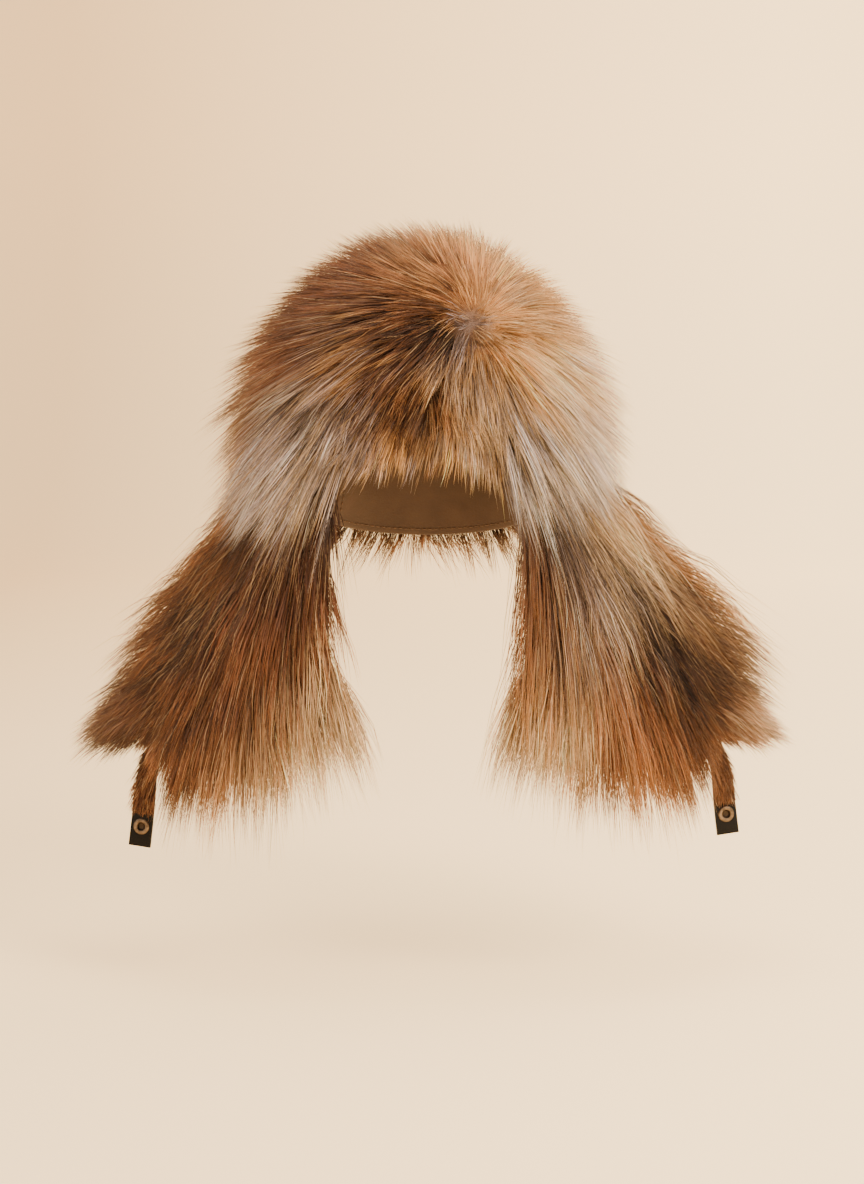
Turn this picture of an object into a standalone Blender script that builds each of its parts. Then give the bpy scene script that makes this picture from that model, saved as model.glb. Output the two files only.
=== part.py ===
"""A long-haired fur ushanka, worn with its flaps down. Metres, +Z up, front towards -Y.

The origin is the middle of the rim, where the hat sits on a head. A turn is measured from the front
towards +X, and a rise from the rim towards the top. Every wall is measured outwards from its inner face.
"""

from dataclasses import dataclass
from math import atan2, cos, hypot, pi, radians, sin
import random

import bmesh
import bpy
from mathutils import Matrix, Vector
from mathutils.bvhtree import BVHTree

# Head opening and crown
HEAD_HALF_WIDTH = 0.080
HEAD_HALF_DEPTH = 0.100
CROWN_HEIGHT = 0.135
CROWN_BULGE = 0.12
CROWN_SQUARENESS = 2.5
CROWN_SEGMENTS = 32
CROWN_ROWS = 8

# Walls
LEATHER = 0.003
SKIN = 0.0022
GAP = 0.0004
SEAM_GAP = 0.0004
CROWN_FUR_IN = LEATHER + GAP
CROWN_FUR_OUT = CROWN_FUR_IN + SKIN
VISOR_IN = CROWN_FUR_OUT + GAP
VISOR_OUT = VISOR_IN + LEATHER
VISOR_FUR_IN = VISOR_OUT + GAP
VISOR_FUR_OUT = VISOR_FUR_IN + SKIN

# Visor, turned up: its columns lie on the crown's, so that its facets do too
VISOR_COLUMNS, VISOR_ROWS = 8, 5
VISOR_HALF_TURN = VISOR_COLUMNS * pi / CROWN_SEGMENTS
VISOR_FOOT = radians(0.6)
VISOR_TOP = radians(27)
VISOR_CORNER = 0.3
VISOR_CLEAR = radians(13)
VISOR_CLEAR_ABOVE = radians(7)

# Where the crown's hair parts: to the right of the middle, above the visor
WHORL_TURN = radians(24)
WHORL_RISE = radians(38)
WHORL_REACH = 0.07
WHORL_LENGTH_SHARE = 0.7
WHORL_LIFT_SHARE = 0.6

# Ear flaps
FLAP_LENGTH = 0.205
FLAP_CORNER_LOSS = 0.20
FLAP_CORNER_POWER = 2.2
FLAP_FRONT_TOP, FLAP_FRONT_LOW = radians(46), radians(14)
FLAP_BACK_TOP, FLAP_BACK_LOW = radians(128), radians(116)
FLAP_FLARE = 0.45
FLAP_SPREAD_LEFT, FLAP_SPREAD_RIGHT = 0.95, 1.25
FLAP_DEPTH_FLARE = 0.15
FLAP_COLUMNS, FLAP_ROWS = 10, 8

# Nape flap
NAPE_TOP, NAPE_LOW = radians(48), radians(44)
NAPE_LENGTH = 0.070
NAPE_CORNER_LOSS = 0.16
NAPE_FLARE = 0.35
NAPE_COLUMNS, NAPE_ROWS = 8, 3

# Straps and their press studs
STRAP_WIDTH = 0.016
STRAP_THICK = 0.0022
STRAP_OVERLAP = 0.024
STRAP_HEM_MARGIN = 0.0015
STRAP_SEAT_GAP = 0.0004
SEAT_SEARCH = 0.004
STRAP_STEP = 0.006
STRAP_END_LEFT, STRAP_END_RIGHT = -0.282, -0.273
STRAP_ACROSS = 0.0
STRAP_LEAN = 0.12
STRAP_FACING_LEAN = 0.20
STRAP_BEND_HASTE = 2.2
STRAP_TURN_HASTE = 1.25
STRAP_BARE_STEPS = 4
STUD_UP = 0.0145
STUD_RADIUS = 0.0060
STUD_FACE = 0.0050
STUD_RECESS = 0.0027
STUD_FLOOR = 0.0002
STUD_BARREL = 0.0033
STUD_HOLE = 0.0036
STUD_SEAT_GAP = 0.0003
FLANGE = 0.0007
ROUND_SEGMENTS = 16

# Locks of fur: rings along a lock, with its width and depth there as shares of the largest
LOCK_SIDES = 3
LOCK_RINGS = (
    # along, width, depth
    (0.00, 0.62, 0.55),
    (0.34, 1.00, 1.00),
    (0.70, 0.66, 0.62),
    (1.00, 0.00, 0.00),
)
ROOT_DEPTH = 0.0011
SMALL_STEP = 1e-4
MERGE_STEP = 1e-6

# How the locks lie: their places on the crown, their columns on a panel, and how far they stray
CROWN_LOCK_ROWS = (
    # rise in degrees, locks, length, lift in degrees, share drawn down
    (7, 22, 0.083, 51, 1.35),
    (21, 20, 0.082, 42, 1.30),
    (36, 18, 0.073, 40, 0.70),
    (52, 14, 0.061, 35, 0.30),
    (68, 9, 0.055, 31, 0.10),
    (84, 4, 0.052, 26, 0.00),
)
CROWN_SAG = 0.10
CROWN_LEFT_GAIN = 0.10
TURN_STRAY = 0.05
RISE_STRAY = 2
LOCK_COLUMNS = 6
PANEL_SHARE = 0.93
ACROSS_STRAY = 0.03
VISOR_LOCK, VISOR_LOCK_GAIN, VISOR_LIFT, VISOR_SAG = 0.044, 0.040, 27, 0.10
VISOR_DOWN, VISOR_FAN = 1.1, 0.25
VISOR_LEVELS = (-0.7, 0.0, 0.7)
FLAP_LOCK_LEFT, FLAP_LOCK_RIGHT = (0.078, 0.074), (0.090, 0.070)
FLAP_LIFT_TOP, FLAP_LIFT_HUNG, FLAP_LIFT_FANNED = 48, 14, 30
FLAP_SAG_TOP, FLAP_SAG_HUNG, FLAP_SAG_FANNED = 0.06, 0.25, 0.08
FLAP_HANG, FLAP_HANG_TOP = 0.8, 0.4
FLAP_HANG_BACK, FLAP_HANG_SPAN = 0.5, 0.8
FLAP_EDGE = 0.5
FLAP_FRONT_FAN, FLAP_BACK_FAN = 1.0, 0.4
FLAP_LEVELS = (-0.52, -0.16, 0.20, 0.56, 0.90)
NAPE_LOCK, NAPE_LIFT, NAPE_SAG = 0.062, 26, 0.08
NAPE_FAN = 0.2
NAPE_LEVELS = (-0.1, 0.75)
STRAP_LOCK, STRAP_LIFT, STRAP_LOCK_OFFSET = 0.020, 15, 0.0035

LEFT, RIGHT = -1, 1


@dataclass(frozen=True)
class Colour:
    """One plain finish."""

    name: str
    red: float
    green: float
    blue: float
    roughness: float
    metallic: float = 0.0


FOX_RUST = Colour("fox_rust", 0.30, 0.13, 0.055, 0.7)
FOX_GOLD = Colour("fox_gold", 0.42, 0.23, 0.12, 0.7)
HIDE_BROWN = Colour("hide_brown", 0.075, 0.040, 0.024, 0.6)
HIDE_BLACK = Colour("hide_black", 0.016, 0.013, 0.011, 0.5)
OLD_BRASS = Colour("old_brass", 0.23, 0.16, 0.09, 0.4, 1.0)


@dataclass(frozen=True)
class Lock:
    """The size and set of one lock of fur."""

    length: float
    width: float
    depth: float
    lift: float
    sag: float
    curl: float


@dataclass(frozen=True)
class Coat:
    """How one pelt's locks are cut, and how far their length, lift in degrees and curl vary."""

    width: float
    depth: float
    shortest: float
    longest: float
    lift_range: float
    curl_range: float

    def lock(self, chance, length, lift, sag):
        """One lock of about this length and lift."""
        cut = length * chance.uniform(self.shortest, self.longest)
        steep = radians(lift + chance.uniform(-self.lift_range, self.lift_range))
        curl = chance.uniform(-self.curl_range, self.curl_range)
        return Lock(cut, self.width, self.depth, steep, sag, curl)


CROWN_COAT = Coat(0.036, 0.013, 0.90, 1.12, 5, 0.12)
VISOR_COAT = Coat(0.032, 0.012, 0.92, 1.10, 4, 0.10)
FLAP_COAT = Coat(0.034, 0.013, 0.90, 1.12, 4, 0.10)
NAPE_COAT = Coat(0.034, 0.012, 0.90, 1.12, 4, 0.10)
STRAP_COAT = Coat(0.013, 0.006, 0.90, 1.10, 0, 0.10)


def material_of(colour):
    """The named Principled material, made once."""
    found = bpy.data.materials.get(colour.name)
    if found:
        return found
    made = bpy.data.materials.new(colour.name)
    made.use_nodes = True
    shader = made.node_tree.nodes["Principled BSDF"]
    shader.inputs["Base Color"].default_value = (colour.red, colour.green, colour.blue, 1)
    shader.inputs["Roughness"].default_value = colour.roughness
    shader.inputs["Metallic"].default_value = colour.metallic
    made.diffuse_color = (colour.red, colour.green, colour.blue, 1)
    return made


def add_object(name, bm, colour, helper=False):
    """Links a finished mesh as an object. A helper shapes other pieces and isn't one itself."""
    mesh = bpy.data.meshes.new(name)
    bm.to_mesh(mesh)
    bm.free()
    mesh.shade_smooth()
    mesh.set_sharp_from_angle(angle=radians(38))
    mesh.materials.append(material_of(colour))
    made = bpy.data.objects.new(name, mesh)
    bpy.context.scene.collection.objects.link(made)
    if helper:
        made.hide_render = True
        made.display_type = "WIRE"
    return made


def add_boolean(target, other, operation):
    """Cuts or joins another object's shape with the target's."""
    made = target.modifiers.new(other.name, "BOOLEAN")
    made.object = other
    made.operation = operation
    made.solver = "EXACT"
    made.use_self = operation == "UNION"


def crown_point(turn, rise, out):
    """A point on the crown, this far outside the face that touches the head."""
    power = 2 / CROWN_SQUARENESS
    flat = max(0.0, cos(rise)) ** power
    up = max(0.0, sin(rise)) ** power
    wide = 1 + CROWN_BULGE * sin(pi * up)
    x = (HEAD_HALF_WIDTH * wide + out) * flat * sin(turn)
    y = -(HEAD_HALF_DEPTH * wide + out) * flat * cos(turn)
    return Vector((x, y, (CROWN_HEIGHT + out) * up))


def visor_point(across, along, out):
    """A point on the turned-up visor: across from -1 to 1, along from its foot, -1, to its top, 1."""
    top = VISOR_TOP * (1 - VISOR_CORNER * across**4)
    rise = VISOR_FOOT + (top - VISOR_FOOT) * (along + 1) / 2
    return crown_point(across * VISOR_HALF_TURN, rise, out)


def hanging_point(turn, drop, reach_x, reach_y, out):
    """A point on a panel that hangs from the rim and flares."""
    return Vector(((reach_x + out) * sin(turn), -(reach_y + out) * cos(turn), -SEAM_GAP - drop))


def flap_length(across):
    """How long an ear flap is there: longest in the middle, where its strap is."""
    return FLAP_LENGTH * (1 - FLAP_CORNER_LOSS * abs(across) ** FLAP_CORNER_POWER)


def ear_flap_point(side, across, along, out):
    """A point on an ear flap: across from its front edge, -1, to its back edge, 1, and along from the rim."""
    drop = flap_length(across) * (along + 1) / 2
    low = drop / FLAP_LENGTH
    front = FLAP_FRONT_TOP + (FLAP_FRONT_LOW - FLAP_FRONT_TOP) * low
    back = FLAP_BACK_TOP + (FLAP_BACK_LOW - FLAP_BACK_TOP) * low
    turn = (front + back) / 2 + across * (back - front) / 2
    spread = FLAP_SPREAD_LEFT if side == LEFT else FLAP_SPREAD_RIGHT
    reach_x = HEAD_HALF_WIDTH + FLAP_FLARE * drop + spread * drop**2
    reach_y = HEAD_HALF_DEPTH + FLAP_DEPTH_FLARE * drop
    point = hanging_point(turn, drop, reach_x, reach_y, out)
    return Vector((side * point.x, point.y, point.z))


def nape_point(across, along, out):
    """A point on the nape flap: across from -X to +X, and along from the rim."""
    drop = NAPE_LENGTH * (1 - NAPE_CORNER_LOSS * across**2) * (along + 1) / 2
    low = drop / NAPE_LENGTH
    turn = pi - across * (NAPE_TOP + (NAPE_LOW - NAPE_TOP) * low)
    flare = NAPE_FLARE * drop
    return hanging_point(turn, drop, HEAD_HALF_WIDTH + flare, HEAD_HALF_DEPTH + flare, out)


def set_walls(bm, raised, place, inside, outside):
    """Puts each corner of a doubled net on its surface, the raised ones on the outer face."""
    raised = set(raised)
    for corner in bm.verts:
        corner.co = place(corner, outside if corner in raised else inside)
    bmesh.ops.recalc_face_normals(bm, faces=bm.faces)


def crown_wall(inside, outside):
    """A dome wall between two distances from the head."""
    bm = bmesh.new()
    bmesh.ops.create_uvsphere(bm, u_segments=CROWN_SEGMENTS, v_segments=2 * CROWN_ROWS, radius=1)
    below = [corner for corner in bm.verts if corner.co.z < -SMALL_STEP]
    bmesh.ops.delete(bm, geom=below, context="VERTS")
    grown = bmesh.ops.extrude_face_region(bm, geom=bm.faces[:])["geom"]

    def place(corner, out):
        x, y, z = corner.co
        return crown_point(atan2(x, -y), atan2(z, hypot(x, y)), out)

    set_walls(bm, [part for part in grown if isinstance(part, bmesh.types.BMVert)], place, inside, outside)
    return bm


def panel_wall(surface, columns, rows, inside, outside):
    """A panel's wall between two distances from its inner face."""
    bm = bmesh.new()
    bmesh.ops.create_grid(bm, x_segments=columns, y_segments=rows, size=1)
    grown = bmesh.ops.extrude_face_region(bm, geom=bm.faces[:])["geom"]

    def place(corner, out):
        return surface(corner.co.x, corner.co.y, out)

    set_walls(bm, [part for part in grown if isinstance(part, bmesh.types.BMVert)], place, inside, outside)
    return bm


def flap_wall(side, inside, outside):
    """An ear flap's wall between two distances from its inner face."""

    def surface(across, along, out):
        return ear_flap_point(side, across, along, out)

    return panel_wall(surface, FLAP_COLUMNS, FLAP_ROWS, inside, outside)


def unit_lock():
    """A lock along +Z from 0 to 1, with a unit ring at each place that LOCK_RINGS names."""
    bm = bmesh.new()
    middle = Matrix.Translation((0, 0, 0.5))
    bmesh.ops.create_cone(
        bm, cap_ends=True, segments=LOCK_SIDES, radius1=1, radius2=0, depth=1, matrix=middle
    )
    for along, _, _ in LOCK_RINGS[1:-1]:
        everything = bm.verts[:] + bm.edges[:] + bm.faces[:]
        bmesh.ops.bisect_plane(bm, geom=everything, plane_co=(0, 0, along), plane_no=(0, 0, 1))
    for corner in bm.verts:
        around = hypot(corner.co.x, corner.co.y)
        if around > SMALL_STEP:
            corner.co.x /= around
            corner.co.y /= around
    mesh = bpy.data.meshes.new("unit_lock")
    bm.to_mesh(mesh)
    bm.free()
    return mesh


def grow_lock(bm, pattern, skin, point, normal, flow, lock):
    """Adds one lock whose root lies in the skin near this point, growing along flow and lifting from it."""
    root, normal, _, _ = skin.ray_cast(point + normal * SKIN, -normal)
    flow = (flow - normal * flow.dot(normal)).normalized()
    side = normal.cross(flow)
    lead = flow * cos(lock.lift) + normal * sin(lock.lift)
    bend = (side * lock.curl - Vector((0, 0, 1)) * lock.sag) * lock.length
    known = set(bm.verts)
    bm.from_mesh(pattern)
    sizes = {round(along, 2): (width, depth) for along, width, depth in LOCK_RINGS}
    for corner in bm.verts:
        if corner in known:
            continue
        x, y, along = corner.co
        width, depth = sizes[round(along, 2)]
        heading = (lead * lock.length + bend * 2 * along).normalized()
        over = -flow if along < SMALL_STEP else heading.cross(side).normalized()
        corner.co = (
            root
            - normal * ROOT_DEPTH
            + lead * lock.length * along
            + bend * along**2
            + side * x * width * lock.width / 2
            + over * y * depth * lock.depth / 2
        )


def surface_frame(surface, across, along, out):
    """A point of a surface with its outward normal and its direction along."""
    point = surface(across, along, out)
    right = surface(across + SMALL_STEP, along, out) - surface(across - SMALL_STEP, along, out)
    ahead = surface(across, along + SMALL_STEP, out) - surface(across, along - SMALL_STEP, out)
    normal = right.cross(ahead).normalized()
    raised = surface(across, along, out + SMALL_STEP) - point
    if normal.dot(raised) < 0:
        normal.negate()
    return point, normal, ahead.normalized()


WHORL = crown_point(WHORL_TURN, WHORL_RISE, CROWN_FUR_OUT)


def whorl_flow(point, down_share):
    """Away from the whorl, drawn downwards by a share."""
    away = (point - WHORL).normalized()
    return away - Vector((0, 0, 1)) * down_share


def crown_locks(chance, pattern, skin):
    """Rows of locks round the crown, each row denser below, with the visor's place left bare."""
    bm = bmesh.new()
    for row, (rise, count, length, lift, down) in enumerate(CROWN_LOCK_ROWS):
        for place in range(count):
            turn = 2 * pi * (place + 0.5 * (row % 2)) / count + chance.uniform(-TURN_STRAY, TURN_STRAY)
            turn = (turn + pi) % (2 * pi) - pi
            high = radians(rise + chance.uniform(-RISE_STRAY, RISE_STRAY))
            if abs(turn) < VISOR_HALF_TURN + VISOR_CLEAR and high < VISOR_TOP + VISOR_CLEAR_ABOVE:
                continue
            point, normal, _ = surface_frame(crown_point, turn, high, CROWN_FUR_OUT)
            near = min(1.0, (point - WHORL).length / WHORL_REACH)
            length_share = WHORL_LENGTH_SHARE + (1 - WHORL_LENGTH_SHARE) * near
            length_share *= 1 + CROWN_LEFT_GAIN * max(0.0, -sin(turn))
            lift_share = WHORL_LIFT_SHARE + (1 - WHORL_LIFT_SHARE) * near
            lock = CROWN_COAT.lock(chance, length * length_share, lift * lift_share, CROWN_SAG)
            grow_lock(bm, pattern, skin, point, normal, whorl_flow(point, down), lock)
    return bm


def panel_locks(chance, pattern, skin, surface, levels, out, flow_of, lock_of):
    """A net of locks on a panel, every second row set half a step across."""
    bm = bmesh.new()
    for row, along in enumerate(levels):
        for column in range(LOCK_COLUMNS):
            across = (2 * (column + 0.5 + 0.25 * (-1) ** row) / LOCK_COLUMNS - 1) * PANEL_SHARE
            across += chance.uniform(-ACROSS_STRAY, ACROSS_STRAY)
            point, normal, ahead = surface_frame(surface, across, along, out)
            lock = lock_of(across, along)
            grow_lock(bm, pattern, skin, point, normal, flow_of(point, ahead, across), lock)
    return bm


def shells_of(bm):
    """The separate shells of a mesh, each a list of its faces, the largest last."""
    left = set(bm.faces)
    shells = []
    while left:
        waiting = [left.pop()]
        shell = []
        while waiting:
            face = waiting.pop()
            shell.append(face)
            beside = {other for edge in face.edges for other in edge.link_faces} & left
            left -= beside
            waiting += beside
        shells.append(shell)
    return sorted(shells, key=len)


def add_fur(name, skin, locks, colour):
    """A pelt: its skin with its locks joined to it, and the hollows shut in between locks filled."""
    helper = add_object(name + "_locks", locks, colour, helper=True)
    backing = add_object(name + "_skin", skin, colour, helper=True)
    add_boolean(backing, helper, "UNION")
    joined = bmesh.new()
    joined.from_object(backing, bpy.context.evaluated_depsgraph_get())
    for hollow in shells_of(joined)[:-1]:
        bmesh.ops.delete(joined, geom=hollow, context="FACES")
    bpy.data.objects.remove(helper)
    bpy.data.objects.remove(backing)
    add_object(name, joined, colour)


def add_crown(pattern):
    """The crown's shell and its pelt."""
    add_object("crown_shell", crown_wall(0, LEATHER), HIDE_BROWN)
    skin = crown_wall(CROWN_FUR_IN, CROWN_FUR_OUT)
    locks = crown_locks(random.Random(11), pattern, BVHTree.FromBMesh(skin))
    add_fur("crown_fur", skin, locks, FOX_GOLD)


def add_visor(pattern):
    """The visor's panel, and its pelt falling over the forehead."""
    panel = panel_wall(visor_point, VISOR_COLUMNS, VISOR_ROWS, VISOR_IN, VISOR_OUT)
    add_object("visor_panel", panel, HIDE_BROWN)

    chance = random.Random(12)

    def flow_of(point, _, across):
        return whorl_flow(point, VISOR_DOWN) + Vector((VISOR_FAN * across, 0, 0))

    def lock_of(across, _):
        return VISOR_COAT.lock(chance, VISOR_LOCK + VISOR_LOCK_GAIN * abs(across), VISOR_LIFT, VISOR_SAG)

    skin = panel_wall(visor_point, VISOR_COLUMNS, VISOR_ROWS, VISOR_FUR_IN, VISOR_FUR_OUT)
    tree = BVHTree.FromBMesh(skin)
    locks = panel_locks(
        chance, pattern, tree, visor_point, VISOR_LEVELS, VISOR_FUR_OUT, flow_of, lock_of
    )
    add_fur("visor_fur", skin, locks, FOX_GOLD)


def hung_share(across):
    """How far an ear flap's hair hangs instead of fanning out: fully at the front, not at all at the back."""
    return min(1.0, max(0.0, (FLAP_HANG_BACK - across) / FLAP_HANG_SPAN))


def add_ear_flap(side, pattern):
    """One ear flap: its leather panel and its pelt."""
    name = "ear_flap_left" if side == LEFT else "ear_flap_right"

    def surface(across, along, out):
        return ear_flap_point(side, across, along, out)

    chance = random.Random(20 + side)

    def flow_of(point, ahead, across):
        low = -point.z / FLAP_LENGTH
        hang = FLAP_HANG * hung_share(across) * (FLAP_HANG_TOP + (1 - FLAP_HANG_TOP) * low)
        front = max(0.0, (-across - FLAP_EDGE) / (1 - FLAP_EDGE))
        back = max(0.0, (across - FLAP_EDGE) / (1 - FLAP_EDGE))
        fan = Vector((-side * FLAP_FRONT_FAN * front, FLAP_BACK_FAN * back, 0))
        return ahead * (1 - hang) + Vector((0, 0, -hang)) + fan

    def lock_of(across, along):
        low = ((along + 1) / 2) ** 2
        hung = hung_share(across)
        top, hem = FLAP_LOCK_LEFT if side == LEFT else FLAP_LOCK_RIGHT
        lift_low = FLAP_LIFT_FANNED + (FLAP_LIFT_HUNG - FLAP_LIFT_FANNED) * hung
        sag_low = FLAP_SAG_FANNED + (FLAP_SAG_HUNG - FLAP_SAG_FANNED) * hung
        lift = FLAP_LIFT_TOP + (lift_low - FLAP_LIFT_TOP) * low
        sag = FLAP_SAG_TOP + (sag_low - FLAP_SAG_TOP) * low
        return FLAP_COAT.lock(chance, top + (hem - top) * low, lift, sag)

    add_object(name, flap_wall(side, 0, LEATHER), HIDE_BROWN)
    skin = flap_wall(side, CROWN_FUR_IN, CROWN_FUR_OUT)
    tree = BVHTree.FromBMesh(skin)
    locks = panel_locks(chance, pattern, tree, surface, FLAP_LEVELS, CROWN_FUR_OUT, flow_of, lock_of)
    add_fur(name + "_fur", skin, locks, FOX_RUST)


def add_nape_flap(pattern):
    """The short flap at the back of the neck, and its pelt."""
    chance = random.Random(13)

    def flow_of(_, ahead, across):
        return ahead + Vector((NAPE_FAN * across, 0, 0))

    def lock_of(_, __):
        return NAPE_COAT.lock(chance, NAPE_LOCK, NAPE_LIFT, NAPE_SAG)

    panel = panel_wall(nape_point, NAPE_COLUMNS, NAPE_ROWS, 0, LEATHER)
    add_object("nape_flap", panel, HIDE_BROWN)
    skin = panel_wall(nape_point, NAPE_COLUMNS, NAPE_ROWS, CROWN_FUR_IN, CROWN_FUR_OUT)
    tree = BVHTree.FromBMesh(skin)
    locks = panel_locks(
        chance, pattern, tree, nape_point, NAPE_LEVELS, CROWN_FUR_OUT, flow_of, lock_of
    )
    add_fur("nape_flap_fur", skin, locks, FOX_RUST)


@dataclass
class StrapStation:
    """A place along a strap: its middle, its outward face's direction, and its run."""

    middle: Vector
    facing: Vector
    heading: Vector

    def across(self):
        """The strap's width direction there."""
        return self.heading.cross(self.facing).normalized()


def strap_stations(side):
    """The strap's run: along the flap's inner face, then hanging and turning its face to the front."""
    out = -STRAP_SEAT_GAP - STRAP_THICK / 2

    def surface(across, along, distance):
        return ear_flap_point(side, across, along, distance)

    stations = []
    seated = round(STRAP_OVERLAP / STRAP_STEP)
    length = flap_length(STRAP_ACROSS)
    for step in range(seated + 1):
        drop = length - STRAP_HEM_MARGIN - STRAP_OVERLAP * (1 - step / seated)
        point, normal, ahead = surface_frame(surface, STRAP_ACROSS, 2 * drop / length - 1, out)
        stations.append(StrapStation(point, normal, ahead))
    start = stations[-1]
    end_height = STRAP_END_LEFT if side == LEFT else STRAP_END_RIGHT
    hanging_turn = Vector((STRAP_LEAN * side, 0.0, -1.0)).normalized()
    end_facing = Vector((STRAP_FACING_LEAN * side, -1.0, 0.0)).normalized()
    steps = round((start.middle.z - end_height) / STRAP_STEP)
    point = start.middle.copy()
    for step in range(1, steps + 1):
        bent = min(1.0, STRAP_BEND_HASTE * step / steps)
        turned = min(1.0, STRAP_TURN_HASTE * step / steps)
        heading = start.heading.lerp(hanging_turn, bent).normalized()
        drop = (start.middle.z - end_height) / steps
        point = point + heading * (drop / -heading.z)
        facing = start.facing.lerp(end_facing, turned)
        facing = (facing - heading * facing.dot(heading)).normalized()
        stations.append(StrapStation(point.copy(), facing, heading))
    return stations


def ribbon(stations, width, inside, outside, seat=None):
    """A strip that follows the stations, between two distances from the strap's middle.

    A seat is the surface that the first stations lie against: the strip is pushed back from it there.
    """
    bm = bmesh.new()
    last = len(stations) - 1
    bmesh.ops.create_grid(bm, x_segments=2, y_segments=last, size=1)
    grown = bmesh.ops.extrude_face_region(bm, geom=bm.faces[:])["geom"]

    def place(corner, out):
        station = stations[round((corner.co.y + 1) / 2 * last)]
        point = station.middle + station.across() * (corner.co.x * width / 2)
        met = seat.ray_cast(point - station.facing * SEAT_SEARCH, station.facing)[0] if seat else None
        if met and (met - point).length < SEAT_SEARCH:
            point = met - station.facing * (STRAP_SEAT_GAP + STRAP_THICK / 2)
        return point + station.facing * out

    set_walls(bm, [part for part in grown if isinstance(part, bmesh.types.BMVert)], place, inside, outside)
    return bm


def stud_frame(stations):
    """The place and turn of a press stud: its axis along the strap's facing, near the free end."""
    end = stations[-1]
    middle = end.middle - end.heading * STUD_UP
    turn = Matrix((end.across(), end.heading, end.facing)).transposed()
    return Matrix.Translation(middle) @ turn.to_4x4()


def stud_body():
    """A press stud round +Z: a cap behind the strap, a barrel through it, and a ring round a recess."""
    seat = STRAP_THICK / 2 + STUD_SEAT_GAP
    face = seat + FLANGE
    outline = (
        # distance from the axis, height
        (0.0, STUD_FLOOR),
        (STUD_RECESS, STUD_FLOOR),
        (STUD_RECESS, seat),
        (STUD_BARREL, face),
        (STUD_FACE, face),
        (STUD_RADIUS, seat),
        (STUD_BARREL, seat),
        (STUD_BARREL, -seat),
        (STUD_RADIUS, -seat),
        (STUD_FACE, -face),
        (0.0, -face),
    )
    bm = bmesh.new()
    corners = [bm.verts.new((away, 0, height)) for away, height in outline]
    edges = [bm.edges.new((a, b)) for a, b in zip(corners, corners[1:])]
    bmesh.ops.spin(
        bm, geom=edges, cent=(0, 0, 0), axis=(0, 0, 1), angle=2 * pi, steps=ROUND_SEGMENTS, use_merge=True
    )
    bmesh.ops.remove_doubles(bm, verts=bm.verts, dist=MERGE_STEP)
    bmesh.ops.recalc_face_normals(bm, faces=bm.faces)
    return bm


def add_strap(side, pattern):
    """One strap with its press stud, and the strip of fur on its face."""
    end = "left" if side == LEFT else "right"
    stations = strap_stations(side)
    frame = stud_frame(stations)

    drill = bmesh.new()
    bmesh.ops.create_cone(
        drill, cap_ends=True, segments=ROUND_SEGMENTS, radius1=STUD_HOLE, radius2=STUD_HOLE,
        depth=4 * STRAP_THICK, matrix=frame,
    )
    cutter = add_object("stud_hole_" + end, drill, HIDE_BLACK, helper=True)
    seat = BVHTree.FromBMesh(flap_wall(side, 0, LEATHER))
    strip = ribbon(stations, STRAP_WIDTH, -STRAP_THICK / 2, STRAP_THICK / 2, seat)
    strap = add_object("strap_" + end, strip, HIDE_BLACK)
    add_boolean(strap, cutter, "DIFFERENCE")

    stud = stud_body()
    bmesh.ops.transform(stud, matrix=frame, verts=stud.verts)
    add_object("press_stud_" + end, stud, OLD_BRASS)

    seated = round(STRAP_OVERLAP / STRAP_STEP)
    furred = stations[seated + 1:-STRAP_BARE_STEPS]
    inside = STRAP_THICK / 2 + GAP
    skin = ribbon(furred, STRAP_WIDTH, inside, inside + SKIN)
    tree = BVHTree.FromBMesh(skin)
    chance = random.Random(30 + side)
    locks = bmesh.new()
    bare = round(STRAP_LOCK / STRAP_STEP)
    for place, station in enumerate(furred[:-bare]):
        root = station.middle + station.facing * (inside + SKIN) + station.heading * (STRAP_STEP / 2)
        root = root + station.across() * (STRAP_LOCK_OFFSET * (-1) ** place)
        lock = STRAP_COAT.lock(chance, STRAP_LOCK, STRAP_LIFT, 0)
        grow_lock(locks, pattern, tree, root, station.facing, station.heading, lock)
    add_fur("strap_fur_" + end, skin, locks, FOX_RUST)


def main():
    """Clears the scene and makes every piece."""
    for old in list(bpy.data.objects):
        bpy.data.objects.remove(old)
    pattern = unit_lock()
    add_crown(pattern)
    add_visor(pattern)
    add_nape_flap(pattern)
    for side in (LEFT, RIGHT):
        add_ear_flap(side, pattern)
        add_strap(side, pattern)
    bpy.data.meshes.remove(pattern)


main()
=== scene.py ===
"""The looks of a long-haired fur ushanka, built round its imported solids. Metres, +Z up, front towards -Y.

Hair is grown in tufts from the same surfaces that the solids have, over a thick underfur. Its colours come
from a short chart of named patches, and it is joined into a few meshes. The leather is remodelled with
rolled edges and stitches, and the press studs are turned.
"""

import logging
from dataclasses import dataclass, field
from enum import Enum
from functools import partial
from math import cos, pi, radians, sin
from typing import Callable

import bmesh
import bpy
import numpy as np
from mathutils import Matrix, Vector
from mathutils.kdtree import KDTree


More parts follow.
